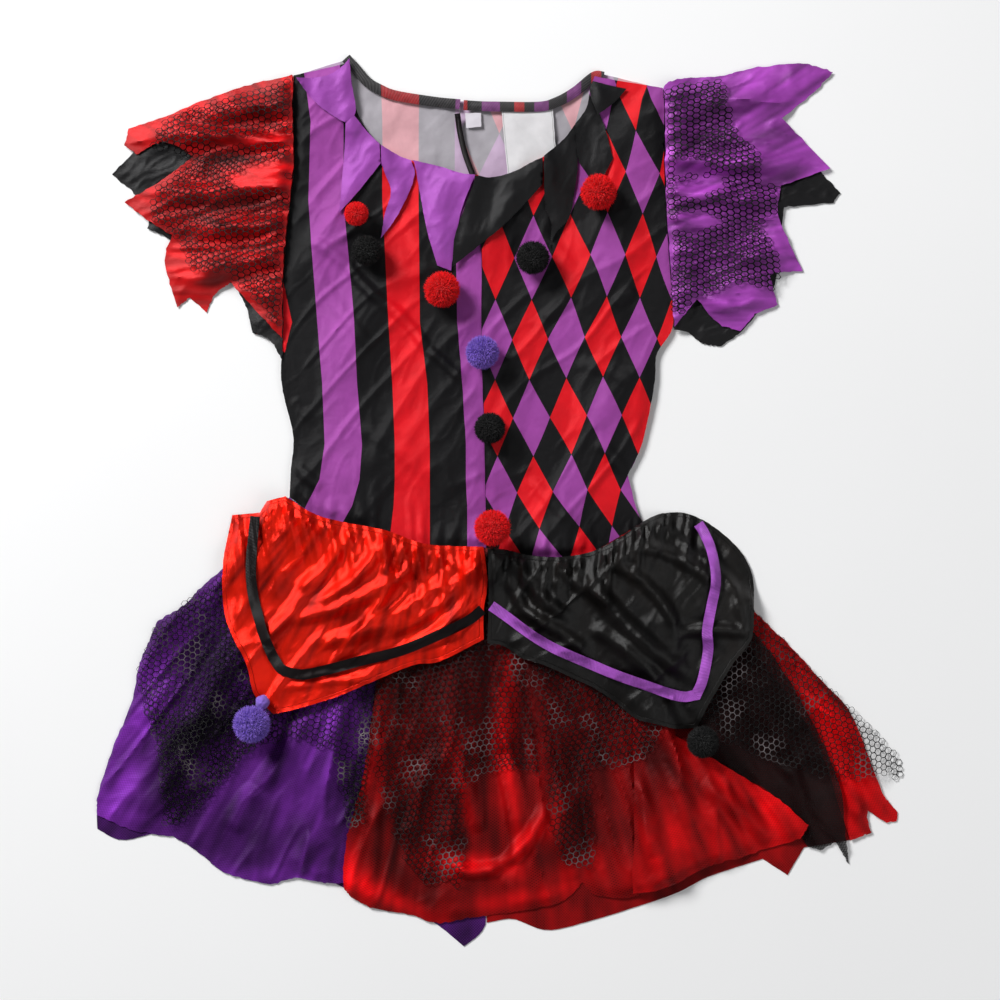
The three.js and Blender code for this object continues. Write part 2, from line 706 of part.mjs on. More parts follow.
// The collar's pointed petals hang from the front neckline
const petals = [
  {
    name: "collar_purple_1",
    seam: table("x y", [[-120, 352], [-118, 331], [-115, 311], [-119, 300]]),
    hem: table("x y", [
      [-125, 346], [-139, 338], [-162, 336], [-155, 326], [-144, 314], [-131, 305], [-121, 300],
    ]),
  },
  {
    name: "collar_purple_2",
    seam: table("x y", [[-116, 306], [-106, 294], [-96, 284]]),
    hem: table("x y", [
      [-121, 299], [-127, 263], [-128, 244], [-126, 230], [-114, 239], [-108, 252], [-98, 268],
    ]),
  },
  {
    name: "collar_purple_3",
    seam: table("x y", [[-95, 283], [-79, 274], [-71, 271]]),
    hem: table("x y", [[-97, 268], [-90, 250], [-94, 230], [-96, 209], [-84, 222], [-75, 246], [-69, 260]]),
  },
  {
    name: "collar_purple_4",
    seam: table("x y", [[-70, 271], [-48, 266], [-30, 260], [-20, 259]]),
    hem: table("x y", [
      [-68, 268], [-63, 240], [-58, 214], [-50, 187], [-39, 183], [-36, 205], [-30, 233], [-21, 256],
    ]),
  },
  {
    name: "collar_black_1",
    seam: table("x y", [[-20, 258], [-6, 257], [12, 262], [27, 270], [34, 273]]),
    hem: table("x y", [[-21, 252], [-36, 210], [-38, 186], [-14, 205], [0, 216], [18, 234], [34, 252]]),
  },
  {
    name: "collar_black_2",
    seam: table("x y", [[35, 274], [51, 288], [60, 300]]),
    hem: table("x y", [
      [35, 258], [36, 234], [41, 220], [39, 200], [44, 212], [55, 225], [60, 250], [62, 268],
    ]),
  },
  {
    name: "collar_black_3",
    seam: table("x y", [[60, 300], [68, 311], [72, 322]]),
    hem: table("x y", [[63, 270], [78, 250], [90, 272], [82, 302]]),
  },
  {
    name: "collar_black_4",
    seam: table("x y", [[72, 322], [72, 330], [74, 334]]),
    hem: table("x y", [[78, 307], [92, 318], [101, 328], [86, 331]]),
  },
];
petals.forEach(({ name, seam, hem }) => {
  const colour = name.includes("purple") ? COLOUR.purpleCollar : COLOUR.black;
  cloth(name, colour, { seam, hem, cell: CELL.collar, roughness: ROUGHNESS.petal });
});

// A ball of yarn: each face of the core carries one three-sided lock, and one lock points down
function pompom({ name, x, y, size, colour }) {
  const radius = size / 2;
  const core = new THREE.IcosahedronGeometry(radius * POMPOM_CORE, 0).getAttribute("position");
  const corner = (i) => new THREE.Vector3().fromBufferAttribute(core, i);
  const tipOf = (face) => corner(face).add(corner(face + 1)).add(corner(face + 2)).setLength(radius);
  const down = new THREE.Vector3(0, 0, -1);
  const turn = new THREE.Quaternion().setFromUnitVectors(tipOf(0).normalize(), down);
  const triangles = [];
  for (let face = 0; face < core.count; face += 3) {
    for (let k = 0; k < 3; k += 1) {
      const lock = [corner(face + k), corner(face + ((k + 1) % 3)), tipOf(face)];
      triangles.push(lock.map((p) => p.applyQuaternion(turn).add(new THREE.Vector3(x, y, 0))));
    }
  }
  const lift = bench.liftFor(triangles) + AIR;
  const positions = triangles.flat().flatMap((p) => [p.x, p.y, p.z + lift]);
  const geometry = new THREE.BufferGeometry();
  geometry.setAttribute("position", new THREE.Float32BufferAttribute(positions, 3));
  add(name, geometry, material(COLOUR[colour], ROUGHNESS.yarn));
}

table("name x y size colour", [
  ["pompom_red_tuft", -114, 227, 20, "red"],
  ["pompom_black_left", -106, 198, 25, "black"],
  ["pompom_red_left", -46, 167, 30, "red"],
  ["pompom_black_right", 26, 192, 28, "black"],
  ["pompom_red_right", 78, 244, 30, "red"],
  ["pompom_violet_front", -14, 117, 28, "blueViolet"],
  ["pompom_black_front", -8, 57, 26, "black"],
  ["pompom_red_front", -6, -22, 30, "red"],
  ["pompom_violet_hem", -196, -177, 31, "blueViolet"],
  ["pompom_black_hem", 161, -192, 27, "black"],
]).forEach(pompom);

export default group;
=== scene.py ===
import json
import math

import bpy
import numpy as np
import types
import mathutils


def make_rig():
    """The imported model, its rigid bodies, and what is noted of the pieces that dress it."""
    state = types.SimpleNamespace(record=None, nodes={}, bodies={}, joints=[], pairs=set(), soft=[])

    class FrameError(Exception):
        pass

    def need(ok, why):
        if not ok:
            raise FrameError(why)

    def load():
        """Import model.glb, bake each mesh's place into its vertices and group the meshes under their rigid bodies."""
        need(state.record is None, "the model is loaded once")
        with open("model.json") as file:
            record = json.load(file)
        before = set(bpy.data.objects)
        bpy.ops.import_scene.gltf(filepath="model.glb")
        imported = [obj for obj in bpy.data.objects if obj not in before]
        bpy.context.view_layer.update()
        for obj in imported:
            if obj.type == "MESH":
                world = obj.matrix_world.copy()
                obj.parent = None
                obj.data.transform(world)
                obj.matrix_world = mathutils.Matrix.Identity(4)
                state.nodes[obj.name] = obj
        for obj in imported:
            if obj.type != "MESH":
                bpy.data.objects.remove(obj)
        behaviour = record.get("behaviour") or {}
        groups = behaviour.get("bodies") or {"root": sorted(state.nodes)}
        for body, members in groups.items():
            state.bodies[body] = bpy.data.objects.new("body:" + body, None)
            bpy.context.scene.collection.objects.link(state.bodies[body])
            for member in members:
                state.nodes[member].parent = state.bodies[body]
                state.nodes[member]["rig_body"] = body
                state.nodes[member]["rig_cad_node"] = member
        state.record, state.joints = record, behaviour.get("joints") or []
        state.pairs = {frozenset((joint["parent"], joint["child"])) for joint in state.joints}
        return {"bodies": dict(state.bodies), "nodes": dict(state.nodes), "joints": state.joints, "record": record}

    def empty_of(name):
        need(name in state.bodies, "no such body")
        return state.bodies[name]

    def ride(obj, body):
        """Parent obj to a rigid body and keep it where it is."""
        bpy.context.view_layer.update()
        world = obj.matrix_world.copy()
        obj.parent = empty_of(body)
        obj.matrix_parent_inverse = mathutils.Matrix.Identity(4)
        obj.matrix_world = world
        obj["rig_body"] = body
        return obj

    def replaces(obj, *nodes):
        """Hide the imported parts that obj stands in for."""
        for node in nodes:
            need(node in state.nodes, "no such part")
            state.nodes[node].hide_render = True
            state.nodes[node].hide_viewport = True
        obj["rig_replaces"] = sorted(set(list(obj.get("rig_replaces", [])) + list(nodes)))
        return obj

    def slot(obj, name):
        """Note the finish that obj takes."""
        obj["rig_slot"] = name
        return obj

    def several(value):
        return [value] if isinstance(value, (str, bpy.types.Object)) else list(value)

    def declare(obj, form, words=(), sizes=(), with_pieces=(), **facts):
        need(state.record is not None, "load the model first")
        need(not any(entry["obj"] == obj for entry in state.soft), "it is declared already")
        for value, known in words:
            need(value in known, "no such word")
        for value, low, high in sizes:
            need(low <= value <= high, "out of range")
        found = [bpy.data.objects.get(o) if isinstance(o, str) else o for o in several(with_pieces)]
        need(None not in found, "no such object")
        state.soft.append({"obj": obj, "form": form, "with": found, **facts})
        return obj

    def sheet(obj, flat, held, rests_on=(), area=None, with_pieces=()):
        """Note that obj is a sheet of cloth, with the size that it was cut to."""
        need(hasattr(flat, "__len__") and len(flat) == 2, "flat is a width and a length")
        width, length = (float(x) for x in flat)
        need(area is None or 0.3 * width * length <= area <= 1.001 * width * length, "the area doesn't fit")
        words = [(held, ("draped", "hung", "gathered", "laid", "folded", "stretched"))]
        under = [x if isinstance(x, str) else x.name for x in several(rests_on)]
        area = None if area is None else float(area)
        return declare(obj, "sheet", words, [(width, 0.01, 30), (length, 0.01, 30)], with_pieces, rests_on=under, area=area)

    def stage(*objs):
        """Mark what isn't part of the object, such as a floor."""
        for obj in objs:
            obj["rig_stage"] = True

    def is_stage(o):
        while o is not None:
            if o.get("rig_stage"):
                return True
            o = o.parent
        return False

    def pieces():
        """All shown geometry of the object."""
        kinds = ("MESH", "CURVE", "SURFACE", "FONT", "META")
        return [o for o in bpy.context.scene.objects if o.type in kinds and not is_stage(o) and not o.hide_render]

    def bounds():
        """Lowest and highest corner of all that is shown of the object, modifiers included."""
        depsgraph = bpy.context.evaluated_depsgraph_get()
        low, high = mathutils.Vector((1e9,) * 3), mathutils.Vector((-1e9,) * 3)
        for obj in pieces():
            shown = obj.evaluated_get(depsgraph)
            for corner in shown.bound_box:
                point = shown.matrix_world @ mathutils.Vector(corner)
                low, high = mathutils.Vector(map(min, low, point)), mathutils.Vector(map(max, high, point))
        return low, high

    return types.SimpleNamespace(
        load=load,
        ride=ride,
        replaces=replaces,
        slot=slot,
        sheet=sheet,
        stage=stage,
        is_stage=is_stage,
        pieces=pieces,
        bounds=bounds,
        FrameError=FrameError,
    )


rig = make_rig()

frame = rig.load()
cad_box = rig.bounds()

bl_info = {
    "name": "Jester dress",
    "version": (1, 0, 0),
    "blender": (4, 5, 0),
    "location": "3D View > Sidebar > Jester dress",
    "description": "Builds a child's jester dress laid flat, piece by piece",
    "category": "Object",
}

MM = 0.001
TINY = 1e-9
# The bench: its box in metres, its step in millimetres, how close to its last node a place may be
BENCH_BOX = (-0.345, 0.345, -0.375, 0.375)
GRID_STEP = 1.9
LAST_CELL = 1.001
# Nodes on a side of the noise's square, and the width of the ring in its spectrum
NOISE_SIDE = 512
NOISE_RING = 0.5
# Points for each span of an outline and of a path, the least turn that stays a corner, the least
# angle between faces that is shaded as an edge, and how many points are measured at a time
SAMPLES_PER_SPAN = 10
PATH_SAMPLES = 24
SHARP_TURN = math.radians(38)
SHADE_ANGLE = math.radians(58)
BATCH = 600
# Cloth: how far its edge is felt and how far it is calmed, and what holds where a piece doesn't say
# otherwise: rounds of stretching, fray and loft in millimetres, the share of relief left at the edge
HEM_REACH = 12 * MM
CALM = 9 * MM
TAUT_ROUNDS = 16
FRAY = 0.12
LOFT = 1.0
EDGE_RELIEF = 0.35
# Nets: how near the edge a cell's middle may be, as a share of the pitch; how close two corners
# are when they are the same; how high a net lies on its cloth
NET_MARGIN = 0.3
SAME_CORNER = 0.1 * MM
NET_LOFT = 0.8 * MM
# A net's cloth as a share of its outline, the part of a layer that upper windows take away, and the
# least share of its rectangle that a sheet may state
STRAND_SHARE = 0.5
WINDOW_LOSS = 0.4
LEAST_SHARE = 0.301
# Tapes: the step along one, how many rows each way its height is eased over, the least cosine of half
# a turn that a mitre follows
TAPE_STEP = 1.5 * MM
EASED_ROWS = 4
LEAST_MITRE = 0.6
# Pompoms, as shares of their radius: the core, where yarn starts, its length, the flat foot, and how
# high the part goes that is kept clear of the cloth. Then how far they are pressed down, how much
# the yarn leans, its thickness, and the thirds of a turn
CORE = 0.8
YARN_START = 0.72
YARN_LENGTH = 0.28
FOOT = 0.78
CLEARED = 0.2
PRESSED = 0.92
YARN_LEAN = 0.36
YARN_THICK = 0.6 * MM
THIRDS = (0, 2.094, 4.189)
# The studio: lens and film in millimetres and the width seen in metres; the sky's colour and
# strength; each light's place, size and power; the floor's side, cells on a side and depth
LENS = 85
FILM = 36
VIEW_WIDTH = 0.8
SKY = (0.95, 0.97, 1.0, 1.0)
SKY_STRENGTH = 0.17
LIGHTS = (("window", (-2.1, 2.1, 2.1), 1.2, 158.0), ("fill", (1.5, -0.9, 1.8), 1.6, 12.0))
FLOOR_SIDE = 6.0
FLOOR_CELLS = 12
FLOOR_DEPTH = 0.2 * MM
FLOOR_WHITE = (0.95, 0.95, 0.95)


def line(*points):
    """Points x, y given in millimetres, as an array in metres."""
    return np.array(points, float) * MM


def table(columns, *rows):
    """A table with named columns: one array of numbers for each name."""
    return dict(zip(columns.split(), np.array(rows, float).T))


def display(red, green, blue):
    """A colour as a screen shows it, 0 to 255, turned into the linear light that Blender uses."""
    value = np.array([red, green, blue]) / 255
    linear = np.where(value <= 0.04045, value / 12.92, ((value + 0.055) / 1.055) ** 2.4)
    return tuple(float(x) for x in linear)


# Seams and edges that pieces share
ARMHOLE_LEFT = line((-165, 339), (-165, 302), (-164, 270), (-168, 233), (-171, 203), (-173, 175),
                    (-173, 136))
ARMHOLE_RIGHT = line((130, 329), (131, 314), (131, 270), (133, 221), (136, 180), (138, 139))
SIDE_LEFT = line((-175, 101), (-173, 85), (-165, 50), (-167, 24))
SIDE_RIGHT = line((125, 116), (124, 99), (119, 69), (112, 41), (102, 20), (110, -10))
WAIST_LEFT = line((-168, 2), (-147, -12), (-126, -18), (-91, -25), (-58, -36), (-11, -38))
WAIST_RIGHT = line((-11, -38), (6, -40), (25, -45), (49, -46), (72, -42), (94, -30), (114, -19))
CENTRE_FRONT = line((-20, 259), (-15, 200), (-15, 120), (-13, 64), (-11, -38))
CENTRE_BACK = line((-33, 319), (-30, 277), (-21, 258), (-11, -38))
NECK_LEFT = line((-120, 349), (-118, 331), (-114, 310), (-105, 294), (-93, 282), (-79, 274), (-70, 271),
                 (-48, 264), (-20, 259))
NECK_RIGHT = line((-20, 259), (-6, 257), (12, 262), (27, 270), (41, 278), (51, 288), (60, 300), (68, 311),
                  (72, 329), (75, 338))
BACK_NECK_LEFT = line((-123, 352), (-116, 346), (-107, 337), (-96, 330), (-80, 325), (-52, 321), (-33, 319))
BACK_NECK_RIGHT = line((-32, 319), (0, 317), (32, 317), (45, 320), (58, 327), (74, 338), (80, 341))
RED_PANEL_EDGE = line((-101, -161), (-109, -219), (-117, -250), (-123, -275))
RED_PANEL_TOP = line((-77, -30))

# Where the printed stripes change colour, left to right, at ten heights
STRIPE_EDGES = table(
    "y first second third fourth fifth seam",
    (352, -158, -128, -96, -64, -34, -14),
    (302, -151, -125, -94, -65, -36, -14),
    (240, -153, -125, -94, -65, -36, -14),
    (142, -146, -116, -89, -64, -34, -15),
    (93, -142, -114, -86, -58, -30, -13),
    (44, -140, -110, -84, -56, -27, -11),
    (16, -144, -112, -84, -56, -27, -10),
    (-5, -155, -118, -85, -56, -26, -10),
    (-22, -164, -128, -87, -56, -26, -10),
    (-40, -170, -134, -89, -56, -26, -10),
)
# The red diamond of the side that reaches round onto the striped half
SIDE_DIAMOND = line((-174, 178), (-183, 148), (-172, 118), (-166, 142))
# The middles of the diamond columns at seven heights, and the heights where the diamonds' tips meet
DIAMOND_COLUMNS = table(
    "y c0 c1 c2 c3 c4 c5",
    (320, 0, 30, 56, 82, 104, 130),
    (262, -1, 30, 58, 86.5, 114, 141),
    (190, -3, 25, 57, 86.5, 113, 137),
    (130, -4, 24, 54, 82.5, 111, 139),
    (66, -4, 24, 54, 83, 111, 139),
    (7, 0, 28, 58, 83, 110, 137),
    (-48, 8, 36, 70, 96, 122, 148),
)
DIAMOND_TIPS = table("y row", (366, -1.5), (294, -0.5), (228, 0.5), (161, 1.5), (97, 2.5), (36, 3.5),
                     (-22, 4.5),
                     (-80, 5.5))


def millimetres(name, meaning, size):
    """A driving length, given in millimetres, as a property."""
    return bpy.props.FloatProperty(name=name, description=meaning, default=size * MM, unit="LENGTH")


def tint(name, meaning, *levels):
    """A colour, given as a screen shows it, as a property."""
    return bpy.props.FloatVectorProperty(name=name, description=meaning, subtype="COLOR",
                                         default=display(*levels))


class CostumeSizes(bpy.types.PropertyGroup):
    """The dress's driving sizes."""

    grid_step: millimetres("Grid step", "Side of the square grid that all the cloth shares", GRID_STEP)
    cloth: millimetres("Cloth", "Thickness of the knit, satin and organza", 0.5)
    net: millimetres("Net", "Thickness of the net's strands", 0.4)
    gap: millimetres("Gap", "Air between one layer and the next", 0.25)
    net_pitch: millimetres("Net pitch", "From one cell of the net to the next", 4.9)
    net_strand: millimetres("Net strand", "Width of a strand of the net", 0.68)
    ribbon: millimetres("Ribbon", "Width of the ribbons on the flaps", 8.2)
    neck_hem: millimetres("Neck hem", "Width of the turned hem of the back neck", 8.0)
    slit_edge: millimetres("Slit edge", "Width of the overlocked edge of the slit", 4.6)
    weave: millimetres("Weave", "From one thread of the cloth to the next", 0.9)
    fibres: bpy.props.IntProperty(name="Fibres", description="Yarn ends on one pompom", default=2600)


class CostumeColours(bpy.types.PropertyGroup):
    """The dress's colours."""

    red: tint("Red print", "Red of the printed knit", 222, 14, 28)
    purple: tint("Purple print", "Purple of the printed knit", 158, 70, 158)
    black: tint("Black print", "Black of the print, the collar and the sleeves' points", 15, 14, 16)
    satin_red: tint("Red satin", "Red of the satin flap", 236, 30, 8)
    satin_black: tint("Black satin", "Black of the satin flap", 11, 9, 8)
    collar_purple: tint("Collar purple", "Purple of the collar's petals", 158, 72, 172)
    sleeve_red: tint("Sleeve red", "Red of the left sleeve", 214, 10, 16)
    sleeve_purple: tint("Sleeve purple", "Purple of the right sleeve", 160, 66, 172)
    tulle_purple: tint("Purple tulle", "Purple of the skirt", 112, 40, 150)
    organza_red: tint("Red organza", "Red of the skirt", 206, 6, 12)
    organza_black: tint("Black organza", "Black of the skirt's sheer petal", 18, 14, 14)
    inside: tint("Inside", "Wrong side of the printed knit", 214, 208, 216)
    label: tint("Label", "White of the care label", 238, 236, 238)
    strand: tint("Net strand", "Black of the nets", 9, 8, 9)
    glint: tint("Net glint", "Grey of the skirt nets where they glint", 122, 114, 116)
    ribbon_black: tint("Black ribbon", "Black of the ribbon on the red flap", 14, 8, 9)
    ribbon_purple: tint("Purple ribbon", "Purple of the ribbon on the black flap", 166, 86, 190)
    yarn_violet: tint("Violet yarn", "Blue violet of two pompoms", 136, 104, 204)
    yarn_red: tint("Red yarn", "Red of the red pompoms", 232, 20, 26)
    yarn_black: tint("Black yarn", "Black of the black pompoms", 22, 22, 22)


def sizes():
    """The sizes of this scene's dress."""
    return bpy.context.scene.costume_sizes


def colours():
    """The colours of this scene's dress."""
    return bpy.context.scene.costume_colours


# Lines and fields, worked out as whole arrays


def smooth_outline(points):
    """A closed line through the points: a cubic runs between each two of them, with the direction of
    its neighbours at a gentle point and with its own direction at a sharp one, which stays a corner."""
    after, before = np.roll(points, -1, 0), np.roll(points, 1, 0)
    turn = np.abs(np.angle(
        ((after - points) @ [1, 1j]) * np.conj((points - before) @ [1, 1j]) + TINY * 0j))
    sharp = (turn > SHARP_TURN)[:, None]
    span = np.linalg.norm(after - points, axis=1)[:, None]
    back = np.roll(span, 1, 0)
    tangent = (after - before) / (span + back)
    leave = np.where(sharp, after - points, tangent * span)
    arrive = np.where(np.roll(sharp, -1, 0), after - points, np.roll(tangent, -1, 0) * span)
    t = (np.arange(SAMPLES_PER_SPAN) / SAMPLES_PER_SPAN)[None, :, None]
    curve = ((2 * t**3 - 3 * t**2 + 1) * points[:, None] + (t**3 - 2 * t**2 + t) * leave[:, None]
             + (3 * t**2 - 2 * t**3) * after[:, None] + (t**3 - t**2) * arrive[:, None])
    return curve.reshape(-1, 2), points[sharp[:, 0]]


def rounded(path):
    """Many points along a smooth open curve that runs through all the points of a path."""
    ends = np.vstack([2 * path[:1] - path[1:2], path, 2 * path[-1:] - path[-2:-1]])
    p0, p1, p2, p3 = ends[:-3, None], ends[1:-2, None], ends[2:-1, None], ends[3:, None]
    t = (np.arange(PATH_SAMPLES) / PATH_SAMPLES)[None, :, None]
    curve = 0.5 * (2 * p1 + (p2 - p0) * t + (2 * p0 - 5 * p1 + 4 * p2 - p3) * t**2
                   + (3 * p1 - p0 - 3 * p2 + p3) * t**3)
    return np.vstack([curve.reshape(-1, 2), path[-1:]])


def length_of(path):
    """The length of an open line."""
    return np.linalg.norm(np.diff(path, axis=0), axis=1).sum()


def resample(curve, step):
    """Points a fixed step apart along an open line of many points, with their lengths along it."""
    length = np.concatenate([[0], np.cumsum(np.linalg.norm(np.diff(curve, axis=0), axis=1))])
    stations = np.linspace(0, length[-1], max(3, round(length[-1] / step) + 1))
    return np.stack([np.interp(stations, length, curve[:, k]) for k in (0, 1)], axis=1), stations


def at_shares(path, share, count):
    """The places at these shares of a path's length, found among four points for each of a count."""
    points, _ = resample(rounded(path), length_of(path) / (count * 4))
    known = np.linspace(0, 1, len(points))
    return np.stack([np.interp(share, known, points[:, k]) for k in (0, 1)], 1)


def frayed(outline, seed, amount):
    """The outline with each point moved a little, as the threads of a cut edge are."""
    return outline + np.random.default_rng(seed).normal(0, amount, outline.shape)


def crossings(ys, outline):
    """Where each span of a closed line crosses each of these heights; far to the left where it
    doesn't."""
    a, b = outline, np.roll(outline, -1, 0)
    spans = (a[:, 1] > ys[:, None]) != (b[:, 1] > ys[:, None])
    rise = b[:, 1] - a[:, 1]
    rise = np.where(rise == 0, TINY, rise)
    cross = a[:, 0] + (ys[:, None] - a[:, 1]) * (b[:, 0] - a[:, 0]) / rise
    return np.where(spans, cross, -np.inf)


def inside_grid(xs, ys, outline):
    """True at the nodes of a grid that lie inside a closed line, which crosses an odd number of
    times to the right of them."""
    return (crossings(ys, outline)[:, None, :] > xs[None, :, None]).sum(axis=2) % 2 == 1


def inside_points(points, outline):
    """True for the points that lie inside a closed line."""
    return (crossings(points[:, 1], outline) > points[:, :1]).sum(1) % 2 == 1


def nearest_on_line(points, outline):
    """The nearest place on a closed line to each point, and how far off it is."""
    a, d = outline, np.roll(outline, -1, 0) - outline
    share = ((points[:, None] - a) * d).sum(2) / np.maximum((d * d).sum(1), TINY**2)
    foot = a + np.clip(share, 0, 1)[..., None] * d
    away = np.linalg.norm(points[:, None] - foot, axis=2)
    best = away.argmin(1)
    rows = np.arange(len(points))
    return foot[rows, best], away[rows, best]


def spread(field, rounds):
    """The highest value within some nodes of each node, found along rows and then along columns."""
    for _ in range(rounds):
        for axis in (0, 1):
            edge = np.pad(field, [(1, 1) if k == axis else (0, 0) for k in (0, 1)], mode="edge")
            low, high = np.delete(edge, [-1, -2], axis), np.delete(edge, [0, 1], axis)
            field = np.maximum(field, np.maximum(low, high))
    return field


def soften(field, mask):
    """A blur of one, two, one along both ways that takes in only the nodes of the mask."""
    weight = mask.astype(float)
    total = field * weight
    for axis in (0, 1):
        total = (np.roll(total, 1, axis) + 2 * total + np.roll(total, -1, axis)) / 4
        weight = (np.roll(weight, 1, axis) + 2 * weight + np.roll(weight, -1, axis)) / 4
    return np.where(weight > TINY, total / np.maximum(weight, TINY), field)


def noise_sheet(seed, wavelength, stretch):
    """A repeating square of seeded noise with one main wavelength, drawn out along its rows' axis:
    white noise whose spectrum is kept only in an oval ring."""
    white = np.random.default_rng(seed).standard_normal((NOISE_SIDE, NOISE_SIDE))
    k = np.fft.fftfreq(NOISE_SIDE, d=bench.step)
    across, along = np.meshgrid(k, k)
    reach = np.hypot(across, along * stretch) * wavelength
    ring = np.exp(-(((reach - 1) / NOISE_RING) ** 2))
    field = np.fft.ifft2(np.fft.fft2(white) * ring).real
    return field / field.std()


def sampled(sheet, u, v):
    """The value of a repeating sheet at any place, between its four nearest nodes."""
    column, row = u / bench.step, v / bench.step
    i, j = np.floor(column).astype(int), np.floor(row).astype(int)
    s, t = column - i, row - j
    i0, i1, j0, j1 = i % NOISE_SIDE, (i + 1) % NOISE_SIDE, j % NOISE_SIDE, (j + 1) % NOISE_SIDE
    upper = sheet[j1, i0] * (1 - s) + sheet[j1, i1] * s
    lower = sheet[j0, i0] * (1 - s) + sheet[j0, i1] * s
    return lower * (1 - t) + upper * t


def wrinkles(x, y, seed, rows, fan=None):
    """Fields of noise added up. A row has its wavelength, height, stretch, direction in degrees, and
    ridged: 1 folds the noise into sharp creases. With a fan point, creases run out from that point."""
    total = np.zeros_like(x)
    for number, (wavelength, height, stretch, degrees, ridged) in enumerate(rows):
        if fan is None:
            angle = math.radians(degrees)
            v = x * math.cos(angle) + y * math.sin(angle)
            u = -x * math.sin(angle) + y * math.cos(angle)
        else:
            u, v = fan_place(x, y, fan)
        field = sampled(noise_sheet(seed + number, wavelength * MM, stretch), u, v)
        creased = 1.6 * np.clip(1 - np.abs(field), 0, 1) ** 1.5 - 0.6
        total += height * MM * (ridged * creased + (1 - ridged) * field * 0.6)
    return total


def folds_relief(x, y, rows):
    """Each fold is a rounded ridge, or a trough where its height is negative: cosine squared across,
    fading towards both ends, along a shallow arc. A row has the arc's two ends, how far it bends
    between them, and the fold's width and height."""
    if not rows:
        return np.zeros_like(x)
    ax, ay, bx, by, bend, width, height = np.array(rows, float).T[:, :, None, None] * MM
    dx, dy = bx - ax, by - ay
    length = np.hypot(dx, dy)
    share = ((x - ax) * dx + (y - ay) * dy) / length**2
    along = np.clip(share, 0, 1)
    across = ((y - ay) * dx - (x - ax) * dy) / length - 4 * bend * along * (1 - along)
    away = np.hypot(across, (share - along) * length)
    fade = np.clip(0.25 + 5 * along * (1 - along), 0, 1)
    profile = np.cos(np.pi / 2 * np.clip(away / width, 0, 1)) ** 2
    return (height * profile * fade).sum(0)


def gathers_relief(x, y, seam, far, count, reach, height, seed):
    """Ridges that start at a gathered seam, each aimed at the same share of the far edge: highest at
    the seam, widening and dying away over the reach."""
    rng = np.random.default_rng(seed)
    share = (np.arange(count) + 0.5 + rng.uniform(-0.3, 0.3, count)) / count
    a, b = at_shares(seam, share, count), at_shares(far, share, count)
    d = (b - a) / np.linalg.norm(b - a, axis=1)[:, None]
    length = (reach * rng.uniform(0.5, 1.3, count))[:, None, None]
    tall = (height * rng.uniform(0.5, 1.25, count))[:, None, None]
    room = length_of(seam) / count
    ax, ay, dx, dy = (v[:, None, None] for v in (a[:, 0], a[:, 1], d[:, 0], d[:, 1]))
    along = ((x - ax) * dx + (y - ay) * dy) / length
    across = (y - ay) * dx - (x - ax) * dy
    width = room * (0.42 + 0.5 * np.clip(along, 0, 1))
    profile = np.cos(np.pi / 2 * np.clip(np.abs(across) / width, 0, 1)) ** 2
    fade = np.clip(1 - along, 0, 1) ** 0.8 * np.clip(1 + along * 6, 0, 1)
    return (tall * profile * fade).max(0)


def spots(base, *rows):
    """A tone for each place: a base and soft oval spots that make the cloth lighter or darker, in most tables painted
    highlights and painted shade of its folds, times fine streaks that run out from the skirt's fan point, and never
    quite black. A row has a spot's place, its reach along and across, its direction in degrees and its amount."""
    def tone(x, y):
        total = np.full_like(x, base)
        for spot_x, spot_y, along, across, degrees, amount in rows:
            angle = math.radians(degrees)
            dx, dy = x - spot_x * MM, y - spot_y * MM
            u = (dx * math.cos(angle) + dy * math.sin(angle)) / (along * MM)
            v = (dy * math.cos(angle) - dx * math.sin(angle)) / (across * MM)
            total = total + amount * np.exp(-u * u - v * v)
        u, v = fan_place(x, y, SKIRT_FAN)
        streaks = sampled(noise_sheet(7, 7 * MM, 9.0), u, v) + sampled(noise_sheet(8, 17 * MM, 6.0), u, v)
        return np.maximum(total * (1 + 0.16 * streaks), 0.06)
    return tone


def fan_place(x, y, fan):
    """Places seen from a fan point: round it, as a length at the fan's radius, and out from it."""
    far_x, far_y, radius = fan
    return np.arctan2(x - far_x, far_y - y) * radius, np.hypot(x - far_x, y - far_y)


class Bench:
    """Remembers the highest cloth at every node of one square grid over the floor."""

    def __init__(self):
        self.reset(GRID_STEP * MM)

    def reset(self, step):
        """Clears the bench for a grid of this step."""
        low_x, high_x, low_y, high_y = BENCH_BOX
        self.step = step
        self.xs = np.arange(low_x, high_x, step)
        self.ys = np.arange(low_y, high_y, step)
        self.height = np.zeros((self.ys.size, self.xs.size))

    def at(self, x, y, reach=1):
        """The highest cloth within reach of each place, between its four nearest nodes."""
        column = np.clip((x - self.xs[0]) / self.step, 0, self.xs.size - LAST_CELL)
        row = np.clip((y - self.ys[0]) / self.step, 0, self.ys.size - LAST_CELL)
        i, j = column.astype(int), row.astype(int)
        s, t = column - i, row - j
        top = spread(self.height, reach)
        lower = top[j, i] * (1 - s) + top[j, i + 1] * s
        upper = top[j + 1, i] * (1 - s) + top[j + 1, i + 1] * s
        return lower * (1 - t) + upper * t

    def raise_to(self, x, y, z):
        """Raises the nodes round each place to at least its height."""
        i = np.rint((x - self.xs[0]) / self.step).astype(int)
        j = np.rint((y - self.ys[0]) / self.step).astype(int)
        for di in (-1, 0, 1):
            for dj in (-1, 0, 1):
                np.maximum.at(self.height, (j + dj, i + di), z)


bench = Bench()


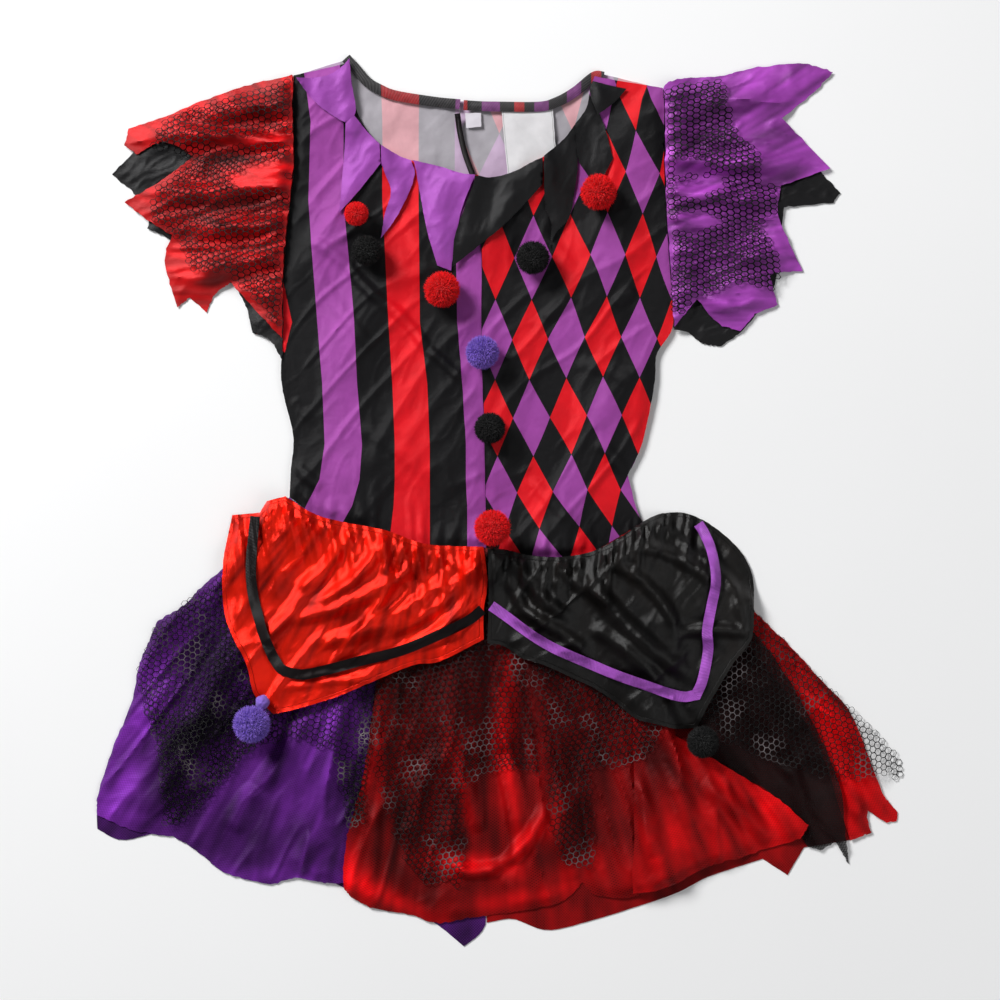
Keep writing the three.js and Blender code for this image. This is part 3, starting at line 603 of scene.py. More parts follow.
class Patch:
    """The grid's cells inside one outline. Its rim nodes move onto the outline and its corners."""

    def __init__(self, outline, corners, stride=1):
        step = bench.step * stride
        low, high = outline.min(0) - 3 * step, outline.max(0) + 3 * step
        columns = np.flatnonzero((bench.xs > low[0]) & (bench.xs < high[0]))
        rows = np.flatnonzero((bench.ys > low[1]) & (bench.ys < high[1]))
        self.window = (slice(rows[0], rows[-1] + 1, stride), slice(columns[0], columns[-1] + 1, stride))
        xs, ys = bench.xs[self.window[1]], bench.ys[self.window[0]]
        self.outline = outline
        self.cells = inside_grid(xs[:-1] + step / 2, ys[:-1] + step / 2, outline)
        padded = np.pad(self.cells, 1)
        around = [padded[1:, 1:], padded[:-1, 1:], padded[1:, :-1], padded[:-1, :-1]]
        self.nodes = np.any(around, axis=0)
        self.rim = self.nodes & ~np.all(around, axis=0)
        self.x, self.y = np.meshgrid(xs, ys)
        rim = np.stack([self.x[self.rim], self.y[self.rim]], 1)
        rim, _ = nearest_on_line(rim, outline)
        if len(corners):
            owner = np.linalg.norm(rim[:, None] - corners, axis=2).argmin(0)
            rim[owner] = corners
        self.x[self.rim], self.y[self.rim] = rim.T
        self.hem = self.hem_distance()

    def hem_distance(self):
        """How far each node is from the outline, up to as far as an edge is felt."""
        distance = np.full(self.x.shape, HEM_REACH)
        rounds = int(HEM_REACH / (self.x[0, 1] - self.x[0, 0])) + 1
        near = self.nodes & spread(~self.nodes | self.rim, rounds)
        points = np.stack([self.x[near], self.y[near]], 1)
        parts = [nearest_on_line(part, self.outline)[1]
                 for part in np.array_split(points, max(1, len(points) // BATCH)) if len(part)]
        distance[near] = np.minimum(HEM_REACH, np.concatenate(parts)) if parts else HEM_REACH
        distance[self.rim] = 0
        return distance

    def taut(self, rounds, gap):
        """The height that cloth stretched over the bench has: each round it is lifted to the mean of
        its neighbours where that is higher."""
        floor = spread(bench.height[self.window], 2) + gap
        level = floor
        around = spread(self.nodes, 2)
        for _ in range(rounds):
            level = np.maximum(floor, soften(level, around))
        return level

    def lay(self, top):
        """Tells the bench where this piece's upper face is."""
        seen = spread(np.where(self.nodes, top, 0), 1)
        here = bench.height[self.window]
        np.maximum(here, seen, out=here)

    def triangles(self):
        """Two triangles for each cell, cut along its shorter diagonal, as numbers of the nodes."""
        number = np.full(self.x.shape, -1)
        number[self.nodes] = np.arange(self.nodes.sum())
        x, y = self.x, self.y
        corner = [number[:-1, :-1], number[:-1, 1:], number[1:, 1:], number[1:, :-1]]
        a, b, c, d = (k[self.cells] for k in corner)
        rising = np.hypot(x[:-1, :-1] - x[1:, 1:], y[:-1, :-1] - y[1:, 1:])[self.cells]
        falling = np.hypot(x[:-1, 1:] - x[1:, :-1], y[:-1, 1:] - y[1:, :-1])[self.cells]
        first = rising <= falling
        one = np.where(first[:, None], np.stack([a, b, c], 1), np.stack([a, b, d], 1))
        two = np.where(first[:, None], np.stack([a, c, d], 1), np.stack([b, c, d], 1))
        return np.vstack([one, two]), number

    def rim_edges(self, number):
        """The rim's edges, each with the cloth on its left."""
        cells = np.pad(self.cells, 1)
        inner = cells[1:-1, 1:-1]
        sides = [
            (inner & ~cells[:-2, 1:-1], (0, 0), (0, 1)),
            (inner & ~cells[1:-1, 2:], (0, 1), (1, 1)),
            (inner & ~cells[2:, 1:-1], (1, 1), (1, 0)),
            (inner & ~cells[1:-1, :-2], (1, 0), (0, 0)),
        ]
        edges = []
        for mask, (row_a, column_a), (row_b, column_b) in sides:
            row, column = np.nonzero(mask)
            edges.append(np.stack([number[row + row_a, column + column_a],
                                   number[row + row_b, column + column_b]], 1))
        return np.vstack(edges)


# Meshes


def make_object(name, points, faces, material, uvs=None, values=None):
    """A mesh object from arrays of points and triangles, with UV maps and values given for each point."""
    mesh = bpy.data.meshes.new(name)
    mesh.vertices.add(len(points))
    mesh.vertices.foreach_set("co", np.asarray(points, np.float32).ravel())
    loops = np.asarray(faces, np.int32).ravel()
    mesh.loops.add(len(loops))
    mesh.loops.foreach_set("vertex_index", loops)
    mesh.polygons.add(len(faces))
    mesh.polygons.foreach_set("loop_start", np.arange(0, len(loops), 3, dtype=np.int32))
    mesh.update(calc_edges=True)
    mesh.polygons.foreach_set("use_smooth", np.ones(len(faces), bool))
    for label, uv in (uvs or {}).items():
        layer = mesh.uv_layers.new(name=label)
        layer.data.foreach_set("uv", np.asarray(uv, np.float32)[loops].ravel())
    for label, value in (values or {}).items():
        layer = mesh.attributes.new(label, "FLOAT", "POINT")
        layer.data.foreach_set("value", np.asarray(value, np.float32))
    mesh.set_sharp_from_angle(angle=SHADE_ANGLE)
    mesh.validate()
    obj = bpy.data.objects.new(name, mesh)
    bpy.context.scene.collection.objects.link(obj)
    mesh.materials.append(material)
    return obj


def own(obj, slot, node):
    """The piece rides on the dress, stands for its CAD node and names its material slot."""
    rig.ride(obj, "root")
    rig.replaces(obj, node)
    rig.slot(obj, slot)


def area_of(outline):
    """The area inside a closed line."""
    x, y = outline.T
    return abs((x * np.roll(y, -1) - np.roll(x, -1) * y).sum()) / 2


def cut_box(outline):
    """Width and length of the smallest turned rectangle that a piece is cut from."""
    angles = np.radians(np.arange(0, 180, 3))
    across = outline[:, :1] * np.cos(angles) + outline[:, 1:] * np.sin(angles)
    along = outline[:, 1:] * np.cos(angles) - outline[:, :1] * np.sin(angles)
    widths, lengths = np.ptp(across, axis=0), np.ptp(along, axis=0)
    best = (widths * lengths).argmin()
    return float(widths[best]), float(lengths[best])


def ring(piece):
    """The closed line of a piece: along its seam, down its last edge, back along its hem, up its first."""
    parts = [piece["seam"]]
    if "last" in piece:
        parts.append(piece["last"])
    parts.append(piece["hem"][::-1])
    if "first" in piece:
        parts.append(piece["first"][::-1])
    return np.vstack(parts)


# What each piece of cloth was cut to, declared once all the pieces are laid
cuts = []


def cloth(name, piece, look, rests_on=(), fullness=1.0, trims=(), slot=None):
    """One piece of cloth. Its lower face is the taut bench plus a relief of folds, gathers and
    wrinkles, calmed near its edge; its upper face is the cloth's thickness above that. Its flat cut
    is the laid one times the fullness, shared between width and length."""
    outline, corners = smooth_outline(ring(piece))
    seed = piece.get("seed", len(name) * 7 + ord(name[-1]))
    outline = frayed(outline, seed, piece.get("fray", FRAY) * MM)
    stride = piece.get("stride", 1)
    patch = Patch(outline, corners, stride)
    thickness = sizes().cloth
    relief = folds_relief(patch.x, patch.y, piece.get("folds"))
    if "gathers" in piece:
        relief = relief + gathers_relief(patch.x, patch.y, piece["seam"], piece["hem"],
                                         seed=seed, **piece["gathers"])
    if "hem_gathers" in piece:
        relief = relief + gathers_relief(patch.x, patch.y, piece["hem"], piece["seam"],
                                         seed=seed + 1, **piece["hem_gathers"])
    if "wrinkles" in piece:
        relief = relief + wrinkles(patch.x, patch.y, seed, piece["wrinkles"], piece.get("fan"))
    loft = piece.get("loft", LOFT) * MM
    calm = piece.get("calm", EDGE_RELIEF)
    near = np.clip(patch.hem / CALM, 0, 1)
    lifted = np.maximum(loft + relief, 0) * (calm + (1 - calm) * near * near * (3 - 2 * near))
    if piece.get("resting"):
        low = lifted if "wrinkles" in piece or "folds" in piece else np.zeros_like(patch.x)
    else:
        low = patch.taut(TAUT_ROUNDS, sizes().gap) + lifted
    patch.lay(low + thickness)
    if stride > 1:
        fill_bench(outline, float((low + thickness)[patch.nodes].max()))
    faces, number = patch.triangles()
    edges = patch.rim_edges(number)
    count = int(patch.nodes.sum())
    x, y = patch.x[patch.nodes], patch.y[patch.nodes]
    upper = np.stack([x, y, (low + thickness)[patch.nodes]], 1)
    lower = np.stack([x, y, low[patch.nodes]], 1)
    a, b = edges.T
    walls = np.vstack([np.stack([a + count, b + count, b], 1), np.stack([a + count, b, a], 1)])
    triangles = np.vstack([faces, faces[:, ::-1] + count, walls])
    weave = np.stack(fan_place(x, y, piece["fan"]) if "fan" in piece else (x, y), 1)
    uvs = {"weave": np.vstack([weave, weave])}
    if "print" in piece:
        pattern = piece["print"](x, y)
        uvs["print"] = np.vstack([pattern, pattern])
    hem = patch.hem[patch.nodes] / MM
    values = {"hem": np.concatenate([hem, hem])}
    # The tone holds painted highlights and painted shade where the piece's table paints them
    tone = piece["tone"](x, y) if "tone" in piece else np.ones(count)
    values["tone"] = np.concatenate([tone, tone])
    obj = make_object(name + "_cloth", np.vstack([upper, lower]), triangles, material(look), uvs, values)
    own(obj, slot or look, name)
    width, length = cut_box(outline)
    flat = math.sqrt(fullness)
    held = "gathered" if fullness > 1 else "laid"
    cuts.append(dict(obj=obj, flat=(width * flat, length * flat), held=held, rests_on=rests_on,
                     area=area_of(outline) * fullness, with_pieces=[trim + "_cloth" for trim in trims]))


def fill_bench(outline, top):
    """Raises the whole of the bench inside an outline to one height, for a piece on a coarser grid."""
    inside = inside_grid(bench.xs, bench.ys, outline)
    reach = spread(inside, 3)
    bench.height[reach] = np.maximum(bench.height[reach], top)


def net_places(u, v, middle, turn, squeeze):
    """From the net's own lattice to the cloth: squeezed, bent by slow waves, and turned."""
    angle = math.radians(turn)
    u, v = u * squeeze, v / squeeze
    wave = 2.6 * MM
    u = u + wave * np.sin(v / (23 * MM) + 1.3) + 1.3 * MM * np.sin(v / (9 * MM) + u / (31 * MM))
    v = v + wave * np.sin(u / (29 * MM) + 0.4) + 1.1 * MM * np.sin(u / (11 * MM) + v / (27 * MM))
    return (middle[0] + u * math.cos(angle) - v * math.sin(angle),
            middle[1] + u * math.sin(angle) + v * math.cos(angle))


def net_layer(outline, turn, squeeze, windows, strand):
    """One layer of net: the hexagons of a lattice whose middles are inside the outline, each with a
    smaller hexagonal hole, so the rims between the holes are the strands. It is pushed aside from the
    windows. Gives the places of its points, and triangles between upper points and the lower ones
    that follow them."""
    pitch = sizes().net_pitch
    middle = (outline.min(0) + outline.max(0)) / 2
    half = int(np.ptp(outline, 0).max() / pitch) + 4
    i, j = np.meshgrid(np.arange(-half, half + 1), np.arange(-half, half + 1))
    u = pitch * (i + 0.5 * (j % 2)).ravel()
    v = pitch * (j * math.sqrt(3) / 2).ravel()
    centre = np.stack(net_places(u, v, middle, turn, squeeze), 1)
    keep = np.flatnonzero(np.all((centre > outline.min(0)) & (centre < outline.max(0)), axis=1))
    keep = keep[inside_points(centre[keep], outline)]
    _, away = nearest_on_line(centre[keep], outline)
    keep = keep[away > NET_MARGIN * pitch]
    for window in windows:
        keep = keep[~inside_points(centre[keep], window)]
    u, v = u[keep][:, None], v[keep][:, None]
    around = np.radians(30 + 60 * np.arange(6))
    outer_u, outer_v = (w + pitch / math.sqrt(3) * f(around) for w, f in ((u, np.cos), (v, np.sin)))
    key = np.rint(np.stack([outer_u.ravel(), outer_v.ravel()], 1) / SAME_CORNER).astype(np.int64)
    _, first, owner = np.unique(key, axis=0, return_index=True, return_inverse=True)
    o = owner.reshape(-1, 6)
    open_share = 1 - strand / pitch
    all_u = np.concatenate([outer_u.ravel()[first], (u + (outer_u - u) * open_share).ravel()])
    all_v = np.concatenate([outer_v.ravel()[first], (v + (outer_v - v) * open_share).ravel()])
    total = len(all_u)
    p = len(first) + np.arange(o.size).reshape(-1, 6)
    o2, p2 = np.roll(o, -1, 1), np.roll(p, -1, 1)
    faces = [np.stack(t, -1).reshape(-1, 3) for t in (
        (o, o2, p2), (o, p2, p),
        (o2 + total, o + total, p2 + total), (p2 + total, o + total, p + total),
        (p, p2, p2 + total), (p, p2 + total, p + total))]
    edge = np.stack([o.ravel(), o2.ravel()], 1)
    code = np.sort(edge, axis=1) @ np.array([total, 1])
    _, index, uses = np.unique(code, return_index=True, return_counts=True)
    a, b = edge[index[uses == 1]].T
    faces += [np.stack([a + total, b + total, b], 1), np.stack([a + total, b, a], 1)]
    return net_places(all_u, all_v, middle, turn, squeeze), np.vstack(faces)


def net(name, piece, look, rests_on=()):
    """Open net of one or more layers, each laid on what lies below it. Its stated area is its
    strands' share of each layer, between the least share of its rectangle and all of it."""
    outline, _ = smooth_outline(ring(piece))
    thick = sizes().net
    parts, faces, count = [], [], 0
    for number, turn in enumerate(piece["turns"]):
        windows = piece.get("windows", ()) + (piece.get("upper_windows", ()) if number else ())
        (x, y), layer = net_layer(outline, turn, piece.get("squeeze", 1.0), windows,
                                  piece.get("strand", sizes().net_strand))
        z = bench.at(x, y, 2) + sizes().gap
        if "wrinkles" in piece:
            z = z + np.maximum(NET_LOFT + wrinkles(x, y, piece["seed"] + number, piece["wrinkles"]), 0)
        bench.raise_to(x, y, z + thick)
        parts += [np.stack([x, y, z + thick], 1), np.stack([x, y, z], 1)]
        faces.append(layer + count)
        count += 2 * len(x)
    places = np.vstack(parts)
    obj = make_object(name + "_cloth", places, np.vstack(faces), material(look), {"weave": places[:, :2]})
    own(obj, "black_net", name)
    width, length = cut_box(outline)
    layers = len(piece["turns"]) - (WINDOW_LOSS if "upper_windows" in piece else 0)
    strands = max(STRAND_SHARE * layers * area_of(outline), LEAST_SHARE * width * length)
    cuts.append(dict(obj=obj, flat=(width, length), held="laid", rests_on=rests_on,
                     area=min(strands, width * length)))


def strip(name, path, width, look, crown=0.25, columns=9, wave=0.0, seed=1, pattern=None, slot=None):
    """A narrow tape along a path, which is one smooth line, or a list of smooth lines that meet in
    sharp corners. Each station has a row of points across, a little higher in the middle, on the
    highest cloth under it. At a corner the row lies along the line that halves the angle, as in a
    mitre, and is longer by one over the cosine of half the turn. Walls below and at the edges close it."""
    parts = path if isinstance(path, list) else [path]
    runs = [resample(rounded(part), TAPE_STEP)[0] for part in parts]
    centre = np.vstack([runs[0]] + [run[1:] for run in runs[1:]])
    stations = np.concatenate([[0], np.cumsum(np.linalg.norm(np.diff(centre, axis=0), axis=1))])
    ahead = np.diff(centre, axis=0)
    ahead /= np.linalg.norm(ahead, axis=1)[:, None]
    before, after = np.vstack([ahead[:1], ahead]), np.vstack([ahead, ahead[-1:]])
    ahead = before + after
    ahead /= np.linalg.norm(ahead, axis=1)[:, None]
    reach = 1 / np.maximum((ahead * after).sum(1), LEAST_MITRE)
    side = np.stack([-ahead[:, 1], ahead[:, 0]], 1) * reach[:, None]
    across = np.linspace(-1, 1, columns)
    drift = wave * MM * np.sin(stations / (13 * MM) + seed) * np.sin(stations / (31 * MM))
    place = centre[:, None] + side[:, None] * ((across * width / 2)[None, :] + drift[:, None])[..., None]
    x, y = place[..., 0], place[..., 1]
    base = bench.at(x, y, 2)
    kernel = np.ones(2 * EASED_ROWS + 1) / (2 * EASED_ROWS + 1)
    eased = np.stack([np.convolve(np.pad(column, EASED_ROWS, mode="edge"), kernel, "valid")
                      for column in base.T], 1)
    base = np.maximum(base, eased) + sizes().gap
    thickness = sizes().cloth
    rise = crown * MM * (1 - across**2)[None, :]
    top = base + thickness + rise
    rows = len(centre)
    number = np.arange(rows * columns).reshape(rows, columns)
    total = rows * columns
    a, b, c, d = number[:-1, :-1], number[:-1, 1:], number[1:, 1:], number[1:, :-1]
    faces = [np.stack(t, -1).reshape(-1, 3) for t in (
        (a, c, b), (a, d, c), (a + total, b + total, c + total), (a + total, c + total, d + total))]
    loop = np.concatenate([number[0, :-1], number[:-1, -1], number[-1, :0:-1], number[:0:-1, 0]])
    next_one = np.roll(loop, -1)
    faces += [np.stack([loop, next_one, next_one + total], 1),
              np.stack([loop, next_one + total, loop + total], 1)]
    upper = np.stack([x, y, top], -1).reshape(-1, 3)
    lower = np.stack([x, y, base], -1).reshape(-1, 3)
    along, over = np.meshgrid(stations, across * width / 2, indexing="ij")
    tape = np.stack([along.ravel(), over.ravel()], 1)
    uvs = {"weave": np.vstack([tape, tape])}
    if pattern:
        printed = pattern(x.ravel(), y.ravel())
        uvs["print"] = np.vstack([printed, printed])
    obj = make_object(name + "_cloth", np.vstack([upper, lower]), np.vstack(faces), material(look), uvs)
    bench.raise_to(x.ravel(), y.ravel(), top.ravel())
    own(obj, slot or look, name)


def pompom(name, x, y, size, look, seed, knot=None):
    """A ball of yarn: a lumpy core, and yarn ends spread over it by the golden angle, each a thin
    four-faced spike that leans a little, all of about the same length. A knot, given by how far it
    is to the right and up and how wide it is, is a small copy of the core on the cloth beside it."""
    rng = np.random.default_rng(seed)
    radius = size * MM / 2
    rows, columns = 20, 32
    phi = np.linspace(0, np.pi, rows)[:, None]
    theta = np.linspace(0, 2 * np.pi, columns, endpoint=False)[None, :]
    lump = (1 + 0.05 * np.sin(3 * theta + seed) * np.sin(4 * phi)
            + 0.04 * np.cos(5 * theta) * np.sin(phi) ** 2)
    core = CORE * radius * lump
    ball = np.stack([core * np.sin(phi) * np.cos(theta), core * np.sin(phi) * np.sin(theta),
                     core * np.cos(phi) * np.ones_like(theta)], -1)
    poles = np.array([ball[0].mean(0), ball[-1].mean(0)])
    body = ball[1:-1].reshape(-1, 3)
    number = 2 + np.arange(len(body)).reshape(rows - 2, columns)
    right = np.roll(number, -1, 1)
    a, b, c, d = number[:-1], number[1:], right[1:], right[:-1]
    faces = [np.stack(t, -1).reshape(-1, 3) for t in ((a, b, c), (a, c, d))]
    faces.append(np.stack([np.zeros(columns, int), number[0], right[0]], 1))
    faces.append(np.stack([np.ones(columns, int), right[-1], number[-1]], 1))
    points = middle = np.vstack([poles, body])
    count = sizes().fibres
    step = np.arange(count)
    up = 1 - 2 * (step + 0.5) / count
    turn = step * math.pi * (3 - math.sqrt(5))
    out = np.stack([np.sqrt(1 - up**2) * np.cos(turn), np.sqrt(1 - up**2) * np.sin(turn), up], 1)
    lean = out + rng.normal(0, YARN_LEAN, out.shape)
    lean /= np.linalg.norm(lean, axis=1)[:, None]
    root = out * YARN_START * radius
    tip = root + lean * radius * (YARN_LENGTH * rng.uniform(0.75, 1.2, count))[:, None]
    side = np.cross(lean, rng.normal(size=out.shape))
    side /= np.linalg.norm(side, axis=1)[:, None]
    other = np.cross(lean, side)
    corners = [root + YARN_THICK * (math.cos(k) * side + math.sin(k) * other) for k in THIRDS]
    spikes = np.stack([*corners, tip], 1).reshape(-1, 3)
    first = len(points) + 4 * step
    for one, two, three in ((0, 1, 3), (1, 2, 3), (2, 0, 3), (0, 2, 1)):
        faces.append(np.stack([first + one, first + two, first + three], 1))
    # Painted shade: darker on the core and the yarn's roots, deep between the ends, and painted light at the tips
    yarn_light_and_shade = np.concatenate([np.full(len(points), 0.6), np.tile([0.75, 0.75, 0.75, 1.25], count)])
    points = np.vstack([points, spikes])
    points[:, 2] = np.maximum(points[:, 2], -FOOT * radius) * PRESSED
    points[:, :2] += np.array([x, y]) * MM
    low = points[:, 2] < CLEARED * radius
    seat = (bench.at(points[low, 0], points[low, 1], 2) - points[low, 2]).max() + sizes().gap
    points[:, 2] += seat
    if knot:
        bead = middle * knot[2] / size
        bead[:, :2] += np.array([x + knot[0], y + knot[1]]) * MM
        bead[:, 2] += (bench.at(bead[:, 0], bead[:, 1], 2) - bead[:, 2]).max() + sizes().gap
        faces += [face + len(points) for face in faces[:4]]
        # The knot is painted a little shaded as well
        points, yarn_light_and_shade = np.vstack([points, bead]), np.concatenate([yarn_light_and_shade, np.full(len(bead), 0.9)])
    obj = make_object(name + "_yarn", points, np.vstack(faces), material(look),
                      {"weave": points[:, :2]}, {"tone": yarn_light_and_shade})
    own(obj, look, name)


# Prints


def between(x, y, edges):
    """How many of the table's lines lie left of each place, with the share of the way to the next:
    each line's place is found for the height of the place, then the shares between lines add up."""
    heights = edges["y"][::-1]
    lines = [np.interp(y, heights, values[::-1]) for key, values in edges.items() if key != "y"]
    lines = [2 * lines[0] - lines[1], *lines, 2 * lines[-1] - lines[-2]]
    return sum(np.clip((x - a) / (b - a), 0, 1) for a, b in zip(lines[:-1], lines[1:])) - 1


def stripe_place(x, y):
    """The stripe's number and share, and the height, of each place on the striped half. Inside the
    side's diamond the number falls below zero, which prints red."""
    number = between(x / MM, y / MM, STRIPE_EDGES) + 1
    places = np.stack([x, y], 1)
    _, away = nearest_on_line(places, SIDE_DIAMOND)
    outside = np.where(inside_points(places, SIDE_DIAMOND), -away, away)
    sunk = np.minimum(number, np.maximum(outside / (4 * MM), -0.5))
    number = np.where(outside < 3 * MM, sunk, number)
    return np.stack([number, y / MM], 1)


def band_place(x, y):
    """Pieces of red and purple on the right half of the neck's turned hem."""
    return np.stack([3 + 2.2 * np.sin(x / (17 * MM) + 2.0), y / MM], 1)


def diamond_place(x, y):
    """The diamond's column and row of each place on the diamond half, with a slight sway of the cloth."""
    x = x + 1.3 * MM * np.sin(y / (19 * MM) + 2.0) * np.sin(x / (33 * MM))
    y = y + 1.3 * MM * np.sin(x / (23 * MM) + 1.0)
    row = np.interp(y / MM, DIAMOND_TIPS["y"][::-1], DIAMOND_TIPS["row"][::-1])
    return np.stack([between(x / MM, y / MM, DIAMOND_COLUMNS), row], 1)


# Shader groups


def new_group(name, inputs, outputs):
    """A shader group with named sockets, and its input and output nodes."""
    tree = bpy.data.node_groups.new(name, "ShaderNodeTree")
    for label, kind, default in inputs:
        socket = tree.interface.new_socket(label, in_out="INPUT", socket_type=kind)
        if default is not None:
            socket.default_value = default
    for label, kind in outputs:
        tree.interface.new_socket(label, in_out="OUTPUT", socket_type=kind)
    return tree, tree.nodes.new("NodeGroupInput"), tree.nodes.new("NodeGroupOutput")


def put(tree, kind, *values, **settings):
    """Adds a node. A value is a number, a colour or the socket that feeds the input in its place."""
    node = tree.nodes.new(kind)
    for key, value in settings.items():
        setattr(node, key, value)
    for index, value in enumerate(values):
        if isinstance(value, bpy.types.NodeSocket):
            tree.links.new(value, node.inputs[index])
        elif value is not None:
            node.inputs[index].default_value = value
    return node


def calc(tree, operation, *values):
    """One sum on numbers; the result's socket."""
    return put(tree, "ShaderNodeMath", *values, operation=operation).outputs[0]


def mixed(tree, share, first, second, blend="MIX"):
    """Two colours mixed; the result's socket. Inputs 0, 6 and 7 are the share and the two colours,
    and output 2 is the colour."""
    node = tree.nodes.new("ShaderNodeMix")
    node.data_type = "RGBA"
    node.blend_type = blend
    for index, value in ((0, share), (6, first), (7, second)):
        if isinstance(value, bpy.types.NodeSocket):
            tree.links.new(value, node.inputs[index])
        else:
            node.inputs[index].default_value = value if index == 0 else (*value[:3], 1.0)
    return node.outputs[2]


COLOUR = "NodeSocketColor"
FLOAT = "NodeSocketFloat"
VECTOR = "NodeSocketVector"


def group_weave():
    """Threads that cross: the product of two sines."""
    tree, start, end = new_group("Fine weave", [("Vector", VECTOR, None), ("Threads", FLOAT, 1000.0)],
                                 [("Height", FLOAT)])
    scaled = put(tree, "ShaderNodeVectorMath", start.outputs[0], operation="SCALE")
    tree.links.new(start.outputs[1], scaled.inputs["Scale"])
    parts = put(tree, "ShaderNodeSeparateXYZ", scaled.outputs[0])
    waves = [calc(tree, "SINE", parts.outputs[axis]) for axis in (0, 1)]
    tree.links.new(calc(tree, "MULTIPLY", *waves), end.inputs[0])
    return tree


def group_variation():
    """A colour times one plus four times the amount times how far noise is from its middle."""
    tree, start, end = new_group(
        "Colour variation",
        [("Color", COLOUR, None), ("Vector", VECTOR, None), ("Scale", FLOAT, 40.0), ("Amount", FLOAT, 0.2)],
        [("Color", COLOUR)])
    broad = put(tree, "ShaderNodeTexNoise")
    tree.links.new(start.outputs["Vector"], broad.inputs["Vector"])
    tree.links.new(start.outputs["Scale"], broad.inputs["Scale"])
    broad.inputs["Detail"].default_value = 4.0
    centred = calc(tree, "SUBTRACT", broad.outputs["Fac"], 0.5)
    swing = calc(tree, "MULTIPLY", centred, calc(tree, "MULTIPLY", start.outputs["Amount"], 4.0))
    factor = calc(tree, "MAXIMUM", calc(tree, "ADD", swing, 1.0), 0.05)
    tree.links.new(mixed(tree, 1.0, start.outputs["Color"], factor, "MULTIPLY"), end.inputs[0])
    return tree


def print_group(name, *inks):
    """The start of a print's group: its inputs are the place, the ground and the inks."""
    colours_in = [(ink, COLOUR, None) for ink in ("Ground", *inks)]
    return new_group(name, [("Vector", VECTOR, None), *colours_in], [("Color", COLOUR)])


def group_stripes():
    """Stripes by the whole part of their number: odd ones are purple, but the third and any below
    zero are red; even ones are black."""
    tree, start, end = print_group("Stripe print", "Main", "Third")
    place = put(tree, "ShaderNodeSeparateXYZ", start.outputs[0]).outputs[0]
    odd = calc(tree, "GREATER_THAN", calc(tree, "PINGPONG", calc(tree, "SUBTRACT", place, 0.5), 1.0), 0.5)
    fourth = calc(tree, "LESS_THAN", calc(tree, "ABSOLUTE", calc(tree, "SUBTRACT", place, 3.5)), 0.5)
    third = calc(tree, "MAXIMUM", fourth, calc(tree, "LESS_THAN", place, 0.0))
    bright = mixed(tree, third, start.outputs["Main"], start.outputs["Third"])
    tree.links.new(mixed(tree, odd, start.outputs["Ground"], bright), end.inputs[0])
    return tree


def group_harlequin():
    """Diamonds where the distances to the nearest column and row add to less than a half, coloured
    by turns, on a ground of the same diamonds."""
    tree, start, end = print_group("Harlequin print", "Even", "Odd")
    parts = put(tree, "ShaderNodeSeparateXYZ", start.outputs[0])
    column, row = (calc(tree, "ROUND", parts.outputs[k]) for k in (0, 1))
    off = [calc(tree, "ABSOLUTE", calc(tree, "SUBTRACT", parts.outputs[k], whole))
           for k, whole in ((0, column), (1, row))]
    diamond = calc(tree, "LESS_THAN", calc(tree, "ADD", *off), 0.5)
    parity = calc(tree, "PINGPONG", calc(tree, "ADD", column, row), 1.0)
    odd = calc(tree, "GREATER_THAN", parity, 0.5)
    bright = mixed(tree, odd, start.outputs["Even"], start.outputs["Odd"])
    tree.links.new(mixed(tree, diamond, start.outputs["Ground"], bright), end.inputs[0])
    return tree


def group_hem_line():
    """A line that runs beside the cloth's edge: one up to a quarter of its width from its place, and
    fading to none at three quarters."""
    tree, start, end = new_group(
        "Hem line", [("Place", FLOAT, 3.0), ("Width", FLOAT, 0.6)], [("Mask", FLOAT)])
    hem = put(tree, "ShaderNodeAttribute", attribute_name="hem").outputs["Fac"]
    off = calc(tree, "ABSOLUTE", calc(tree, "SUBTRACT", hem, start.outputs["Place"]))
    share = calc(tree, "DIVIDE", off, calc(tree, "MULTIPLY", start.outputs["Width"], 0.5))
    fade = calc(tree, "SUBTRACT", 1.5, share)
    near = put(tree, "ShaderNodeMath", fade, 1.0, operation="MINIMUM", use_clamp=True)
    tree.links.new(near.outputs[0], end.inputs[0])
    return tree


def group_stitches():
    """Stitches across a tape's edges: slanted bars that repeat along it."""
    tree, start, end = new_group(
        "Edge stitches", [("Vector", VECTOR, None), ("Pitch", FLOAT, 0.0016), ("Slant", FLOAT, 0.5)],
        [("Height", FLOAT)])
    parts = put(tree, "ShaderNodeSeparateXYZ", start.outputs[0])
    leaned = calc(tree, "MULTIPLY", parts.outputs[1], start.outputs["Slant"])
    slid = calc(tree, "ADD", parts.outputs[0], leaned)
    turn = calc(tree, "MULTIPLY", calc(tree, "DIVIDE", slid, start.outputs["Pitch"]), 2 * math.pi)
    height = calc(tree, "ABSOLUTE", calc(tree, "SINE", turn))
    tree.links.new(height, end.inputs[0])
    return tree


GROUPS = {
    "Fine weave": group_weave,
    "Colour variation": group_variation,
    "Stripe print": group_stripes,
    "Harlequin print": group_harlequin,
    "Hem line": group_hem_line,
    "Edge stitches": group_stitches,
}


def group(tree, name, **values):
    """Places a shared group in a material, made the first time that it is asked for."""
    shared = bpy.data.node_groups.get(name) or GROUPS[name]()
    node = tree.nodes.new("ShaderNodeGroup")
    node.node_tree = shared
    for key, value in values.items():
        socket = node.inputs[key.replace("_", " ")]
        if isinstance(value, bpy.types.NodeSocket):
            tree.links.new(value, socket)
        else:
            socket.default_value = (*value[:3], 1.0) if socket.type == "RGBA" else value
    return node.outputs[0]


# Materials


